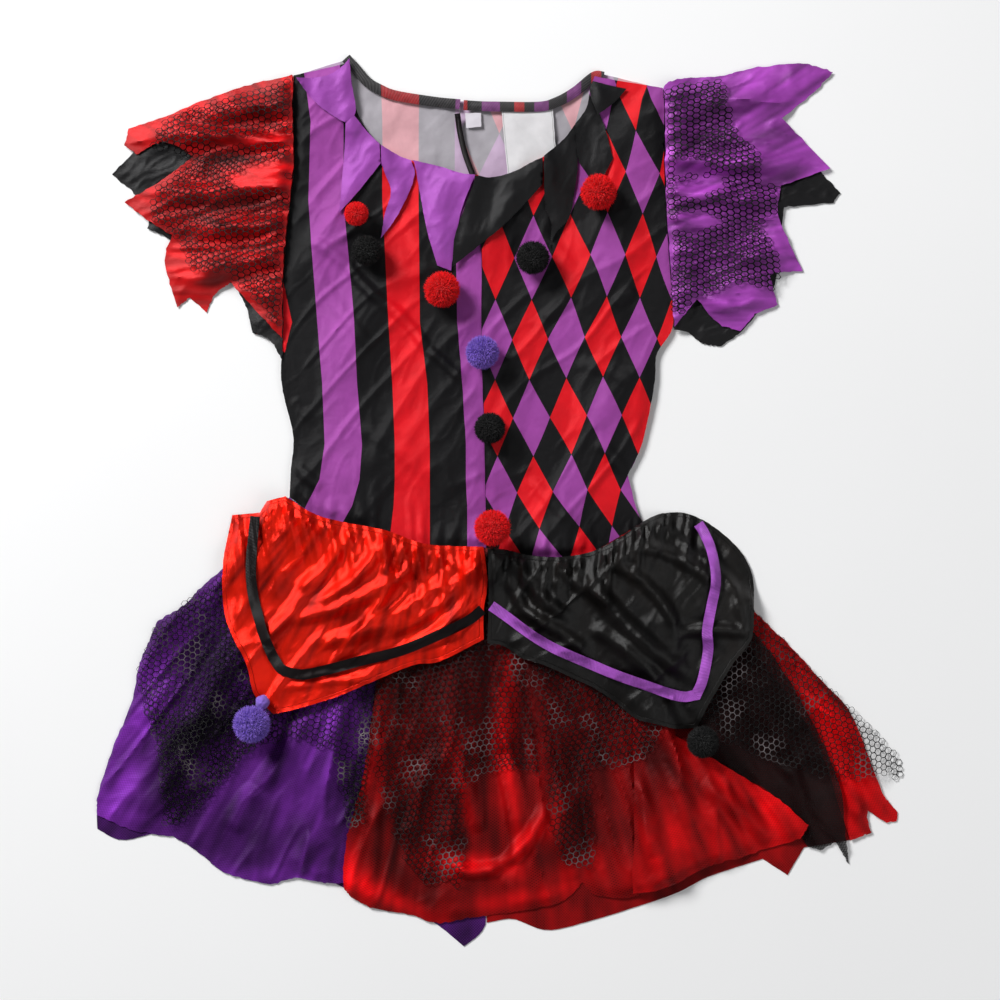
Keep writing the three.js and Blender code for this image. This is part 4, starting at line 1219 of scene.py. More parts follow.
class Surface:
    """One material: a Principled shader whose colour and bump are added to step by step."""

    def __init__(self, name, roughness=0.5, metallic=0.0, sheen=0.0, specular=0.5):
        self.material = bpy.data.materials.new(name)
        self.material.use_nodes = True
        self.tree = self.material.node_tree
        self.shader = self.tree.nodes["Principled BSDF"]
        for label, value in (("Roughness", roughness), ("Metallic", metallic), ("Sheen Weight", sheen),
                             ("Specular IOR Level", specular)):
            self.shader.inputs[label].default_value = value
        self.weave = put(self.tree, "ShaderNodeUVMap", uv_map="weave").outputs[0]
        self.normal = None

    def uv(self, name):
        """The socket of another UV map."""
        return put(self.tree, "ShaderNodeUVMap", uv_map=name).outputs[0]

    def value(self, name):
        """The socket of a value that the mesh holds for each point."""
        return put(self.tree, "ShaderNodeAttribute", attribute_name=name).outputs["Fac"]

    def colour(self, socket):
        """Sends a colour to the shader."""
        self.tree.links.new(socket, self.shader.inputs["Base Color"])

    def varied(self, colour, scale, amount):
        """A colour varied over the cloth."""
        return group(self.tree, "Colour variation", Color=colour, Vector=self.weave, Scale=scale,
                     Amount=amount)

    def toned(self, colour):
        """A colour multiplied by the mesh's own tone, which carries painted light and shade where the piece's tone
        table or the pompom paints them.
        """
        return mixed(self.tree, 1.0, colour, self.value("tone"), "MULTIPLY")

    def bump(self, height, distance, strength=1.0):
        """Adds a bump on top of the ones before it."""
        node = self.tree.nodes.new("ShaderNodeBump")
        node.inputs["Strength"].default_value = strength
        node.inputs["Distance"].default_value = distance
        self.tree.links.new(height, node.inputs["Height"])
        if self.normal is not None:
            self.tree.links.new(self.normal, node.inputs["Normal"])
        self.normal = node.outputs[0]
        self.tree.links.new(self.normal, self.shader.inputs["Normal"])

    def threads(self, distance, share=1.0):
        """The weave's bump."""
        turns = 2 * math.pi / (sizes().weave * share)
        self.bump(group(self.tree, "Fine weave", Vector=self.weave, Threads=turns), distance)

    def creases(self, scale, distance, stretch=(1.0, 1.0, 1.0)):
        """Fine creases from noise."""
        mapping = put(self.tree, "ShaderNodeMapping", self.weave)
        mapping.inputs["Scale"].default_value = stretch
        noise = put(self.tree, "ShaderNodeTexNoise", mapping.outputs[0])
        noise.inputs["Scale"].default_value = scale
        noise.inputs["Detail"].default_value = 3.0
        self.bump(noise.outputs["Fac"], distance)


# On the wrong side: the share of the print that shows through, and of the nearly white ground
SHOWN = 0.42
WASHED = 0.58


def print_surface(name, group_name, faded=False):
    """The printed knit: right side bright, wrong side nearly white with the print showing through."""
    c = colours()
    surface = Surface(name, roughness=0.6 if faded else 0.42, metallic=0.0 if faded else 0.1, specular=0.2)
    wheel = dict(Ground=c.black, Main=c.purple, Third=c.red) if group_name == "Stripe print" else dict(
        Ground=c.black, Even=c.purple, Odd=c.red)
    if faded:
        wheel = {key: [SHOWN * x + WASHED * y for x, y in zip(value, c.inside)]
                 for key, value in wheel.items()}
    printed = group(surface.tree, group_name, Vector=surface.uv("print"), **wheel)
    surface.colour(surface.varied(printed, 55.0, 0.12))
    surface.creases(160.0, 0.35 * MM)
    surface.threads(0.06 * MM)
    return surface.material


def inside_surface(name):
    """The wrong side of the knit, nearly white."""
    surface = Surface(name, roughness=0.55)
    surface.colour(surface.varied(colours().inside, 45.0, 0.1))
    surface.creases(120.0, 0.3 * MM)
    surface.threads(0.06 * MM)
    return surface.material


def satin_surface(name, colour, roughness, metallic):
    """Satin: a coloured gloss, fine creases and a stitched hem."""
    surface = Surface(name, roughness=roughness, metallic=metallic, specular=0.3)
    dark = [0.7 * x for x in colour]
    line_mask = group(surface.tree, "Hem line", Place=3.2, Width=0.5)
    base = surface.toned(surface.varied(colour, 60.0, 0.14))
    surface.colour(mixed(surface.tree, line_mask, base, dark))
    surface.creases(60.0, 0.35 * MM, (1.0, 0.3, 1.0))
    surface.bump(line_mask, -0.3 * MM)
    surface.threads(0.03 * MM, 0.6)
    return surface.material


def knit_surface(name, colour):
    """Thin shiny knit of the sleeves and collar."""
    surface = Surface(name, roughness=0.42, metallic=0.2, specular=0.35)
    surface.colour(surface.toned(surface.varied(colour, 50.0, 0.14)))
    surface.creases(90.0, 0.5 * MM, (0.4, 1.0, 1.0))
    surface.threads(0.05 * MM)
    return surface.material


def organza_surface(name, colour, alpha):
    """Crisp sheer cloth: threads with gaps between, so what lies under it shows a little."""
    surface = Surface(name, roughness=0.55, metallic=0.15, specular=0.15)
    mesh = group(surface.tree, "Fine weave", Vector=surface.weave, Threads=2 * math.pi / (2.2 * MM))
    threads = put(surface.tree, "ShaderNodeMapRange", mesh, -1.0, 1.0, 0.94, 1.06).outputs[0]
    dyed = surface.toned(surface.varied(colour, 45.0, 0.25))
    surface.colour(mixed(surface.tree, 1.0, dyed, threads, "MULTIPLY"))
    span = put(surface.tree, "ShaderNodeMapRange", mesh, -1.0, 1.0, alpha - 0.14, min(1.0, alpha + 0.14))
    surface.tree.links.new(span.outputs[0], surface.shader.inputs["Alpha"])
    surface.creases(150.0, 0.5 * MM, (1.0, 0.2, 1.0))
    surface.threads(0.05 * MM, 1.6)
    return surface.material


def net_surface(name, glint):
    """The net's strands: black nylon with a little gloss, grey in patches where it glints."""
    surface = Surface(name, roughness=0.35, specular=0.16)
    strand = surface.varied(colours().strand, 300.0, 0.3)
    if glint:
        noise = put(surface.tree, "ShaderNodeTexNoise", surface.weave, None, 30.0, 6.0).outputs["Fac"]
        patches = put(surface.tree, "ShaderNodeMapRange", noise, 0.54, 0.74, 0.0, 1.0).outputs[0]
        strand = mixed(surface.tree, patches, strand, glint)
    surface.colour(strand)
    surface.threads(0.05 * MM, 0.5)
    return surface.material


def ribbon_surface(name, colour):
    """Satin ribbon with ribs across it and stitched edges."""
    surface = Surface(name, roughness=0.4, metallic=0.1, specular=0.2)
    surface.colour(surface.varied(colour, 90.0, 0.35))
    stitches = group(surface.tree, "Edge stitches", Vector=surface.weave, Pitch=2.4 * MM, Slant=0.35)
    surface.bump(stitches, 0.22 * MM)
    surface.creases(260.0, 0.3 * MM)
    return surface.material


def neck_band_surface(name):
    """The turned hem of the neck: the print, dark with the thread that is sewn over it."""
    c = colours()
    surface = Surface(name, roughness=0.55, specular=0.3)
    printed = group(surface.tree, "Stripe print", Vector=surface.uv("print"), Ground=c.black,
                    Main=[0.5 * x for x in c.purple], Third=[0.5 * x for x in c.red])
    stitches = group(surface.tree, "Edge stitches", Vector=surface.weave, Pitch=2.6 * MM, Slant=0.5)
    thread = calc(surface.tree, "MULTIPLY", calc(surface.tree, "POWER", stitches, 6.0), 0.3)
    surface.colour(surface.varied(mixed(surface.tree, thread, printed, (0.35, 0.33, 0.34)), 200.0, 0.3))
    surface.bump(stitches, 0.3 * MM)
    return surface.material


def yarn_surface(name, colour):
    """Fluffy yarn: painted shade makes it darker deep between the ends, and painted light makes it lighter at the
    tips.
    """
    surface = Surface(name, roughness=0.9, sheen=0.15, specular=0.15)
    surface.colour(surface.toned(surface.varied(colour, 500.0, 0.2)))
    surface.creases(900.0, 0.2 * MM)
    return surface.material


def label_surface(name):
    """Woven label tape, left bare, with a painted line of shade just inside its edge where its outline shows."""
    surface = Surface(name, roughness=0.45, specular=0.5)
    edge = group(surface.tree, "Hem line", Place=1.0, Width=0.5)
    # Painted shade: a grey line just inside the label's edge
    edge_shade = [0.55 * x for x in colours().label]
    surface.colour(mixed(surface.tree, edge, surface.varied(colours().label, 120.0, 0.05), edge_shade))
    surface.threads(0.08 * MM, 0.5)
    surface.creases(70.0, 0.5 * MM)
    return surface.material


def material(name):
    """The material of a look, made the first time that it is asked for."""
    made = bpy.data.materials.get("look_" + name)
    if made:
        return made
    c = colours()
    maker, *choices = {
        "print_knit_stripes": (print_surface, "Stripe print"),
        "print_knit_diamonds": (print_surface, "Harlequin print"),
        "inside_stripes": (print_surface, "Stripe print", True),
        "inside_diamonds": (print_surface, "Harlequin print", True),
        "print_inside": (inside_surface,),
        "red_satin": (satin_surface, c.satin_red, 0.3, 0.62),
        "black_satin": (satin_surface, c.satin_black, 0.35, 0.0),
        "collar_black": (knit_surface, c.black),
        "sleeve_black": (knit_surface, c.black),
        "neck_band": (neck_band_surface,),
        "red_organza": (organza_surface, c.organza_red, 0.88),
        "purple_organza": (organza_surface, c.tulle_purple, 0.86),
        "black_organza": (organza_surface, c.organza_black, 0.58),
        "red_knit": (knit_surface, c.sleeve_red),
        "purple_knit": (knit_surface, c.sleeve_purple),
        "collar_knit": (knit_surface, c.collar_purple),
        "black_net": (net_surface, None),
        "skirt_net": (net_surface, c.glint),
        "black_ribbon": (ribbon_surface, c.ribbon_black),
        "purple_ribbon": (ribbon_surface, c.ribbon_purple),
        "red_yarn": (yarn_surface, c.yarn_red),
        "black_yarn": (yarn_surface, c.yarn_black),
        "violet_yarn": (yarn_surface, c.yarn_violet),
        "white_label": (label_surface,),
    }[name]
    made = maker(name, *choices)
    made.name = "look_" + name
    return made


# Wrinkles of each kind of cloth: wavelength, height, stretch, direction and ridged
WRINKLES = {
    "bodice": ((85, 2.2, 2.0, 60, 0), (52, 0.9, 3.0, 48, 1), (22, 0.28, 2.4, 66, 1)),
    "inside": ((40, 0.8, 1.5, 80, 0), (18, 0.5, 1.5, 60, 1)),
    "satin": ((80, 1.9, 2.4, 50, 0), (50, 1.2, 4.2, 44, 1), (16, 0.3, 3.0, 55, 1)),
    "organza": ((60, 3.0, 4.5, 0, 0), (26, 1.6, 6.0, 0, 1), (9, 0.35, 5.0, 0, 1)),
    "sleeve": ((40, 2.4, 3.0, 0, 0), (24, 1.2, 3.4, 6, 1), (9, 0.2, 2.4, 0, 1)),
    "points": ((30, 1.2, 2.0, 20, 0), (12, 0.5, 2.0, 30, 1)),
    "petal": ((30, 1.0, 2.0, 80, 0), (14, 0.25, 1.8, 70, 1)),
    "net": ((36, 1.6, 2.2, 70, 0), (15, 0.8, 2.0, 80, 1)),
    "label": ((30, 0.6, 1.0, 40, 0),),
}
SKIRT_FAN = (-25 * MM, 160 * MM, 300 * MM)
WAIST_GATHERS = dict(count=15, reach=34 * MM, height=2.4 * MM)
# How light each cloth is from place to place, much of it painted highlights and painted shade of the folds, as each
# table's comment says
# Painted highlights where the tulle's folds catch the light, and darker where the black net lies thick over it
PURPLE_TONE = spots(
    0.5,
    (-296, -200, 55, 22, 70, 0.75), (-276, -145, 40, 14, 55, 0.5), (-190, -190, 40, 20, 60, 0.35),
    (-136, -180, 60, 20, 75, 0.7), (-240, -130, 40, 26, 55, -0.4), (-236, -184, 46, 14, 15, -0.5),
    (-268, -225, 40, 16, 60, -0.35), (-200, -270, 60, 22, 0, -0.2), (-120, -230, 60, 12, 85, -0.3),
    (-310, -255, 22, 10, 0, 0.5), (-170, -300, 60, 8, 0, 0.45),
)
# Partly painted highlights along the ridges of the folds, partly the lighter red of the hems and of a short top layer;
# a little darker in broad patches
RED_TONE = spots(
    0.2,
    (4, -180, 60, 7, 88, 0.75), (12, -240, 40, 6, 100, 0.7), (-30, -230, 50, 6, 100, 0.3),
    (-108, -240, 60, 10, 80, 0.35), (-120, -300, 26, 14, -40, 0.8), (-84, -320, 40, 7, -25, 0.7),
    (-60, -120, 60, 40, 0, -0.12), (60, -120, 70, 40, 0, -0.12), (-76, -262, 30, 14, 90, -0.1),
    (30, -215, 26, 10, 90, 0.2), (70, -240, 60, 16, 80, -0.1), (104, -240, 60, 16, 80, 0.2),
    (-18, -292, 34, 9, -8, 1.0), (25, -270, 34, 8, 50, 1.0), (20, -318, 50, 8, 10, 0.5),
    (60, -300, 30, 10, 30, 0.45), (120, -296, 60, 14, 10, 0.3),
)
# Painted highlights and painted shade along the petals' folds, and darker where the sheer petal lies over dark layers
PETAL_TONE = spots(
    0.85,
    (128, -178, 44, 26, -40, -0.45), (150, -232, 60, 20, -40, -0.4), (112, -240, 60, 22, 80, -0.45),
    (200, -222, 70, 17, -38, 0.35), (250, -130, 60, 16, -45, -0.45), (262, -176, 50, 11, -60, 0.35),
    (170, -292, 80, 14, 12, -0.3),
)
BLACK_TONE = spots(1.0, (216, -128, 60, 10, -60, 1.0), (250, -220, 40, 10, -65, 1.2))
# Painted shade in the troughs of the red satin's folds
SATIN_RED_FOLD_SHADE = spots(
    1.0,
    (-178, -66, 30, 10, -20, -0.35), (-134, -90, 44, 9, -20, -0.3), (-66, -48, 28, 12, 10, -0.25),
    (-104, -66, 34, 8, 25, -0.25), (-50, -84, 26, 7, 35, -0.25), (-150, -112, 20, 6, 60, -0.2),
)
# Painted sheen: broad lighter patches where the black satin's folds reflect the light, and one patch of painted shade
SATIN_BLACK_SHEEN_AND_SHADE = spots(
    1.0,
    (112, -52, 30, 22, 20, 1.6), (184, -72, 14, 34, 0, 1.4), (34, -100, 34, 12, -35, 0.8),
    (190, -128, 16, 20, 0, 1.8), (60, -66, 26, 9, -50, 0.8), (118, -112, 40, 12, -40, -0.3),
)
# Painted highlights on the sleeve's ridges and painted shade in the valleys between them, on a darkened base
SLEEVE_RED_HIGHLIGHTS_AND_SHADE = spots(
    0.72,
    (-190, 283, 30, 5, -3, 0.35), (-192, 256, 30, 9, 0, 0.45), (-200, 200, 36, 15, -30, 0.25),
    (-252, 186, 10, 12, 60, 0.25), (-272, 300, 22, 6, 15, 0.35), (-182, 312, 18, 9, 10, -0.35),
    (-226, 268, 26, 11, 15, -0.35), (-206, 236, 38, 6, 3, -0.5), (-222, 220, 16, 8, -20, -0.35),
    (-226, 178, 16, 12, 40, -0.4), (-204, 272, 50, 4, 0, -0.3), (-180, 150, 12, 10, 0, -0.2),
)
# Painted shade in the valleys between the sleeve's folds, and a little painted highlight on two of them
SLEEVE_PURPLE_HIGHLIGHTS_AND_SHADE = spots(
    0.95,
    (166, 286, 34, 8, 0, -0.45), (160, 234, 30, 5, 15, -0.35), (170, 204, 34, 8, -25, -0.45),
    (160, 176, 26, 8, -20, -0.35), (200, 300, 30, 16, -40, -0.2), (158, 246, 24, 6, 5, 0.2),
    (232, 318, 30, 10, 35, 0.1),
)
BACK_TONE = spots(0.36, (0, -340, 200, 20, 0, 0.1))


class CostumeOperator:
    """What the dress's operators share."""

    bl_options = {"REGISTER", "UNDO"}


class COSTUME_OT_stage(CostumeOperator, bpy.types.Operator):
    """Make the camera, the lights, the world and the floor"""

    bl_idname = "costume.stage"
    bl_label = "Stage"

    def execute(self, context):
        scene = context.scene
        view = bpy.data.cameras.new("camera")
        view.lens = LENS
        view.sensor_width = FILM
        camera = bpy.data.objects.new("camera", view)
        camera.location = (0, 0, VIEW_WIDTH * LENS / FILM)
        scene.collection.objects.link(camera)
        scene.camera = camera
        scene.view_settings.view_transform = "Standard"
        world = bpy.data.worlds.new("studio")
        world.use_nodes = True
        world.node_tree.nodes["Background"].inputs[0].default_value = SKY
        world.node_tree.nodes["Background"].inputs[1].default_value = SKY_STRENGTH
        scene.world = world
        for name, place, size, power in LIGHTS:
            light = bpy.data.lights.new(name, "AREA")
            light.size = size
            light.energy = power
            lamp = bpy.data.objects.new(name, light)
            lamp.location = place
            lamp.rotation_euler = aimed_turn(place)
            scene.collection.objects.link(lamp)
        floor = flat_floor()
        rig.stage(floor)
        return {"FINISHED"}


def aimed_turn(place):
    """The turn that points a light at the middle of the dress: tipped by the angle between straight up
    and its place, and swung round to its side."""
    x, y, z = place
    return (math.acos(z / math.sqrt(x * x + y * y + z * z)), 0.0, math.atan2(x, -y))


def flat_floor():
    """A pale floor a hair below the cloth: a coarse grid with a soft mottle."""
    at = np.linspace(-FLOOR_SIDE / 2, FLOOR_SIDE / 2, FLOOR_CELLS + 1)
    x, y = np.meshgrid(at, at)
    number = np.arange(x.size).reshape(x.shape)
    a, b, c, d = (k.ravel() for k in (number[:-1, :-1], number[:-1, 1:], number[1:, 1:], number[1:, :-1]))
    faces = np.vstack([np.stack([a, b, c], 1), np.stack([a, c, d], 1)])
    points = np.stack([x.ravel(), y.ravel(), np.full(x.size, -FLOOR_DEPTH)], 1)
    surface = Surface("floor", roughness=0.8, specular=0.2)
    surface.colour(surface.varied(FLOOR_WHITE, 3.0, 0.01))
    return make_object("floor", points, faces, surface.material, {"weave": points[:, :2]})


class COSTUME_OT_backs(CostumeOperator, bpy.types.Operator):
    """Lay the back of the dress and what shows in the open neck"""

    bl_idname = "costume.backs"
    bl_label = "Backs and neck"

    def execute(self, context):
        bench.reset(sizes().grid_step)
        cuts.clear()
        skirt = dict(stride=3, resting=True, tone=BACK_TONE)
        cloth("skirt_back_left", dict(
            seam=WAIST_LEFT + line((-0.5, -0.4)),
            hem=line((-322, -263), (-303, -272), (-264, -266), (-216, -290), (-160, -294), (-120, -312),
                (-80, -322), (-51, -339), (-29, -357), (-17, -348), (-11.5, -338)),
            first=line((-214, -48), (-248, -86), (-274, -112), (-290, -160), (-314, -220), (-322, -242)),
            **skirt), "purple_organza", fullness=1.2)
        cloth("skirt_back_right", dict(
            seam=WAIST_RIGHT + line((0.5, -0.4)),
            hem=line((-10.5, -338), (10, -335), (37, -344), (74, -336), (107, -326), (142, -314),
                (165, -302), (210, -287), (230, -300), (243, -278), (280, -272)),
            last=line((160, -60), (200, -92), (232, -124), (268, -164), (294, -232)),
            **skirt), "red_organza", fullness=1.2)
        back = dict(stride=2, resting=True, wrinkles=WRINKLES["inside"], loft=0.4)
        cloth("bodice_back_left", dict(
            seam=np.vstack([ARMHOLE_LEFT[:1], BACK_NECK_LEFT]), hem=WAIST_LEFT,
            first=np.vstack([ARMHOLE_LEFT[1:6], line((-184, 149), (-174, 119)), SIDE_LEFT]),
            last=CENTRE_BACK[1:-1], print=stripe_place, **back), "inside_stripes", slot="print_inside",
            trims=["neck_hem_left", "slit_edge"])
        cloth("bodice_back_right", dict(
            seam=np.vstack([BACK_NECK_RIGHT, ARMHOLE_RIGHT[:1]]), hem=WAIST_RIGHT + line((0.6, 0)),
            first=CENTRE_BACK[1:-1] + line((1, 0)), last=np.vstack([ARMHOLE_RIGHT[1:], SIDE_RIGHT]),
            print=diamond_place, **back), "inside_diamonds", slot="print_inside",
            trims=["neck_hem_right"])
        sleeve = dict(stride=3, resting=True)
        cloth("sleeve_left_back", dict(
            seam=ARMHOLE_LEFT[:6] - line((0.4, 0)),
            hem=line((-216, 324), (-260, 306), (-280, 268), (-264, 220), (-248, 184), (-212, 183)),
            **sleeve), "red_knit", fullness=1.2)
        cloth("sleeve_right_back", dict(
            seam=ARMHOLE_RIGHT[:5] + line((0.4, 0)),
            hem=line((192, 336), (220, 328), (214, 280), (218, 240), (212, 200), (188, 182)),
            **sleeve), "purple_knit", fullness=1.2)
        backs = ["bodice_back_left", "bodice_back_right"]
        small = dict(wrinkles=WRINKLES["label"], loft=0.4)
        cloth("closure_tab",
              dict(seam=line((-28, 309), (-15, 309)), hem=line((-27, 297), (-15, 298)), **small),
              "print_inside", rests_on=backs)
        cloth("care_label", dict(seam=line((1, 312), (42, 314)), hem=line((6, 259), (46, 262)), **small),
              "white_label", rests_on=backs)
        strip("neck_hem_left",
              line((-123, 353), (-114, 343), (-106, 334), (-96, 328), (-83, 323), (-52, 318), (-32, 316)),
              sizes().neck_hem, "neck_band", slot="black_ribbon", crown=0.8, pattern=stripe_place)
        strip("neck_hem_right",
              line((-29, 315), (0, 314), (32, 314), (46, 318), (60, 326), (75, 338), (83, 338)),
              sizes().neck_hem, "neck_band", slot="black_ribbon", crown=0.8, pattern=band_place)
        strip("slit_edge", line((-34, 308), (-32, 294), (-28, 277), (-22, 260)), sizes().slit_edge,
              "black_ribbon", crown=0.6)
        return {"FINISHED"}


class COSTUME_OT_bodice(CostumeOperator, bpy.types.Operator):
    """Lay the bodice's two front halves"""

    bl_idname = "costume.bodice"
    bl_label = "Bodice"

    def execute(self, context):
        cloth("bodice_front_left", dict(
            seam=np.vstack([ARMHOLE_LEFT[:1], NECK_LEFT]), hem=WAIST_LEFT,
            first=np.vstack([ARMHOLE_LEFT[1:], SIDE_LEFT]), last=CENTRE_FRONT[1:-1],
            print=stripe_place, wrinkles=WRINKLES["bodice"], loft=1.6, seed=31, hem_gathers=WAIST_GATHERS,
            folds=((-151, 207, -122, 186, 2, 8, 3), (-122, 188, -92, 157, -2, 8, 3.5),
                (-92, 157, -58, 119, 3, 8, 3.5), (-58, 121, -30, 96, 0, 7, 3),
                (-166, 83, -152, 64, 0, 8, 2), (-164, 29, -142, 8, 0, 8, 3),
                (-150, 190, -100, 120, -4, 9, 2), (-120, 60, -60, 20, 4, 9, 1.6),
                (-90, 250, -60, 190, 2, 9, 1.6))), "print_knit_stripes", rests_on=["bodice_back_left"])
        cloth("bodice_front_right", dict(
            seam=np.vstack([NECK_RIGHT + line((0.4, 0)), ARMHOLE_RIGHT[:1]]),
            hem=WAIST_RIGHT + line((0.4, 0)),
            first=CENTRE_FRONT[1:-1] + line((0.4, 0)), last=np.vstack([ARMHOLE_RIGHT[1:], SIDE_RIGHT]),
            print=diamond_place, wrinkles=WRINKLES["bodice"], loft=1.6, seed=57, hem_gathers=WAIST_GATHERS,
            folds=((34, 144, 56, 160, 0, 8, 3), (91, 155, 109, 168, 0, 8, 3),
                (78, 48, 106, 8, 2, 9, 3), (20, 20, 60, -20, 0, 9, 2.5), (10, 230, 60, 180, 4, 9, 1.8),
                (60, 110, 110, 90, 3, 9, 1.8))), "print_knit_diamonds", rests_on=["bodice_back_right"])
        return {"FINISHED"}


class COSTUME_OT_skirt(CostumeOperator, bpy.types.Operator):
    """Lay the skirt's front panels and petals"""

    bl_idname = "costume.skirt"
    bl_label = "Skirt"

    def execute(self, context):
        common = dict(wrinkles=WRINKLES["organza"], fan=SKIRT_FAN, loft=1.8, fray=0.35)
        gathers = dict(count=16, reach=90 * MM, height=4 * MM)
        cloth("skirt_front_purple", dict(
            seam=np.vstack([WAIST_LEFT[:4], RED_PANEL_TOP]),
            hem=line((-322, -240), (-322, -252), (-294, -264), (-258, -271), (-237, -285), (-220, -298),
                (-183, -307), (-165, -302), (-140, -306), (-125, -306)),
            first=line((-214, -48), (-238, -69), (-254, -85), (-273, -97), (-281, -114), (-289, -134),
                (-294, -160), (-310, -199)),
            last=RED_PANEL_EDGE, gathers=gathers, seed=11, tone=PURPLE_TONE,
            folds=((-151, -164, -194, -229, 6, 15, 7), (-194, -229, -215, -265, 0, 14, 6),
                (-258, -144, -289, -177, 0, 15, 5), (-210, -120, -262, -225, -6, 16, 5),
                (-165, -296, -140, -266, 3, 13, 5), (-128, -150, -140, -240, 4, 14, 4),
                (-245, -190, -285, -250, 4, 14, 4)), **common), "purple_organza",
            rests_on=["skirt_back_left"], fullness=1.25)
        cloth("skirt_front_red", dict(
            seam=np.vstack([RED_PANEL_TOP, WAIST_LEFT[4:5], WAIST_RIGHT[:6]]),
            hem=line((-125, -306), (-120, -316), (-102, -326), (-70, -332), (-51, -338), (-30, -335),
                (-9, -332), (14, -329), (50, -321), (66, -306), (74, -316), (99, -318), (132, -309),
                (165, -293), (192, -282)),
            first=RED_PANEL_EDGE, last=line((124, -112), (138, -201)), gathers=gathers, seed=23,
            tone=RED_TONE,
            folds=((2, -144, 4, -202, 0, 14, 7), (4, -202, 14, -266, 0, 14, 6),
                (-27, -219, -15, -266, 0, 12, 5), (-38, -292, 2, -290, -5, 9, 8),
                (2, -290, 35, -247, -4, 9, 8), (-64, -208, -80, -320, 3, 13, 5),
                (48, -224, 60, -304, 2, 14, 5), (-100, -240, -104, -312, 0, 11, 4)),
            **common), "red_organza",
            rests_on=["skirt_back_left", "skirt_back_right"], fullness=1.25)
        cloth("skirt_petal_red", dict(
            seam=WAIST_RIGHT[5:],
            hem=line((280, -272), (297, -266), (294, -258), (294, -248), (309, -258), (317, -257),
                (318, -250)),
            first=line((192, -112), (248, -184)),
            last=line((197, -84), (225, -110), (260, -147), (280, -170), (306, -234)),
            folds=((237, -140, 306, -236, 3, 11, 6), (272, -208, 290, -258, 0, 10, 4)), seed=37,
            tone=PETAL_TONE, **common), "red_organza", rests_on=["skirt_back_right"], fullness=1.1)
        cloth("skirt_petal_black", dict(
            seam=WAIST_RIGHT[5:] + line((-2, -1)),
            hem=line((245, -276), (256, -280), (268, -273), (279, -291), (276, -268)),
            first=line((140, -152), (171, -207), (220, -237)),
            last=line((176, -80), (208, -112), (240, -160), (270, -224)),
            folds=((200, -150, 244, -250, 4, 12, 5), (172, -130, 200, -190, 0, 12, 5)), seed=41,
            tone=BLACK_TONE, **common), "black_organza",
            rests_on=["skirt_petal_red", "skirt_front_red"], fullness=1.1)
        cloth("skirt_petal_bright", dict(
            seam=line((78, -40), (104, -25)),
            hem=line((106, -314), (132, -309), (165, -293), (204, -282), (240, -270), (246, -259)),
            first=line((104, -160)), last=line((128, -112), (140, -188), (171, -207), (220, -237)),
            folds=((104, -216, 121, -285, 2, 13, 7), (160, -224, 216, -272, 3, 13, 6),
                (128, -170, 152, -262, 2, 12, 5)), seed=43, tone=PETAL_TONE, **common),
            "red_organza", rests_on=["skirt_petal_black", "skirt_front_red"], fullness=1.1)
        return {"FINISHED"}


class COSTUME_OT_skirt_nets(CostumeOperator, bpy.types.Operator):
    """Lay the jagged black nets over the skirt"""

    bl_idname = "costume.skirt_nets"
    bl_label = "Skirt nets"

    def execute(self, context):
        look = "skirt_net"
        net("skirt_net_left", dict(
            seam=np.vstack([WAIST_LEFT[:4], line((-97, -24))]),
            hem=line((-290, -147), (-274, -204), (-268, -264), (-245, -252), (-201, -203), (-168, -190),
                (-132, -202), (-123, -266), (-107, -256)),
            first=line((-214, -48), (-222, -58), (-243, -75), (-273, -97), (-281, -114), (-289, -134)),
            last=line((-102, -112), (-101, -176)), turns=(-28, 12), wrinkles=WRINKLES["net"], seed=3,
            upper_windows=(line((-298, -50), (-224, -40), (-222, -118), (-240, -166), (-298, -170)),
                           line((-176, -160), (-150, -120), (-112, -120), (-112, -205), (-176, -205)))),
            look, ["skirt_front_purple"])
        net("skirt_net_middle", dict(
            seam=np.vstack([line((-96, -24)), WAIST_LEFT[4:], line((10, -41))]),
            hem=line((-102, -202), (-84, -272), (-60, -310), (-48, -304), (-30, -312), (-27, -280),
                (-26, -226), (4, -216), (34, -220)), turns=(4,), wrinkles=WRINKLES["net"], seed=4),
            look, ["skirt_front_red"])
        net("skirt_net_right", dict(
            seam=np.vstack([line((12, -42)), WAIST_RIGHT[2:6]]),
            hem=line((35, -220), (40, -264), (50, -291), (64, -294), (76, -299), (74, -214), (93, -213),
                (115, -206), (130, -188)),
            last=line((112, -112)), turns=(12,), wrinkles=WRINKLES["net"], seed=6),
            look, ["skirt_front_red"])
        net("skirt_net_side", dict(
            seam=WAIST_RIGHT[5:] + line((0, -1)),
            hem=line((178, -192), (235, -214), (272, -224), (310, -220), (319, -226), (323, -218),
                (323, -210)),
            first=line((152, -152)), last=line((198, -83), (223, -108), (262, -147), (307, -191)),
            turns=(35,), wrinkles=WRINKLES["net"], seed=8),
            look, ["skirt_petal_red", "skirt_petal_black"])
        return {"FINISHED"}


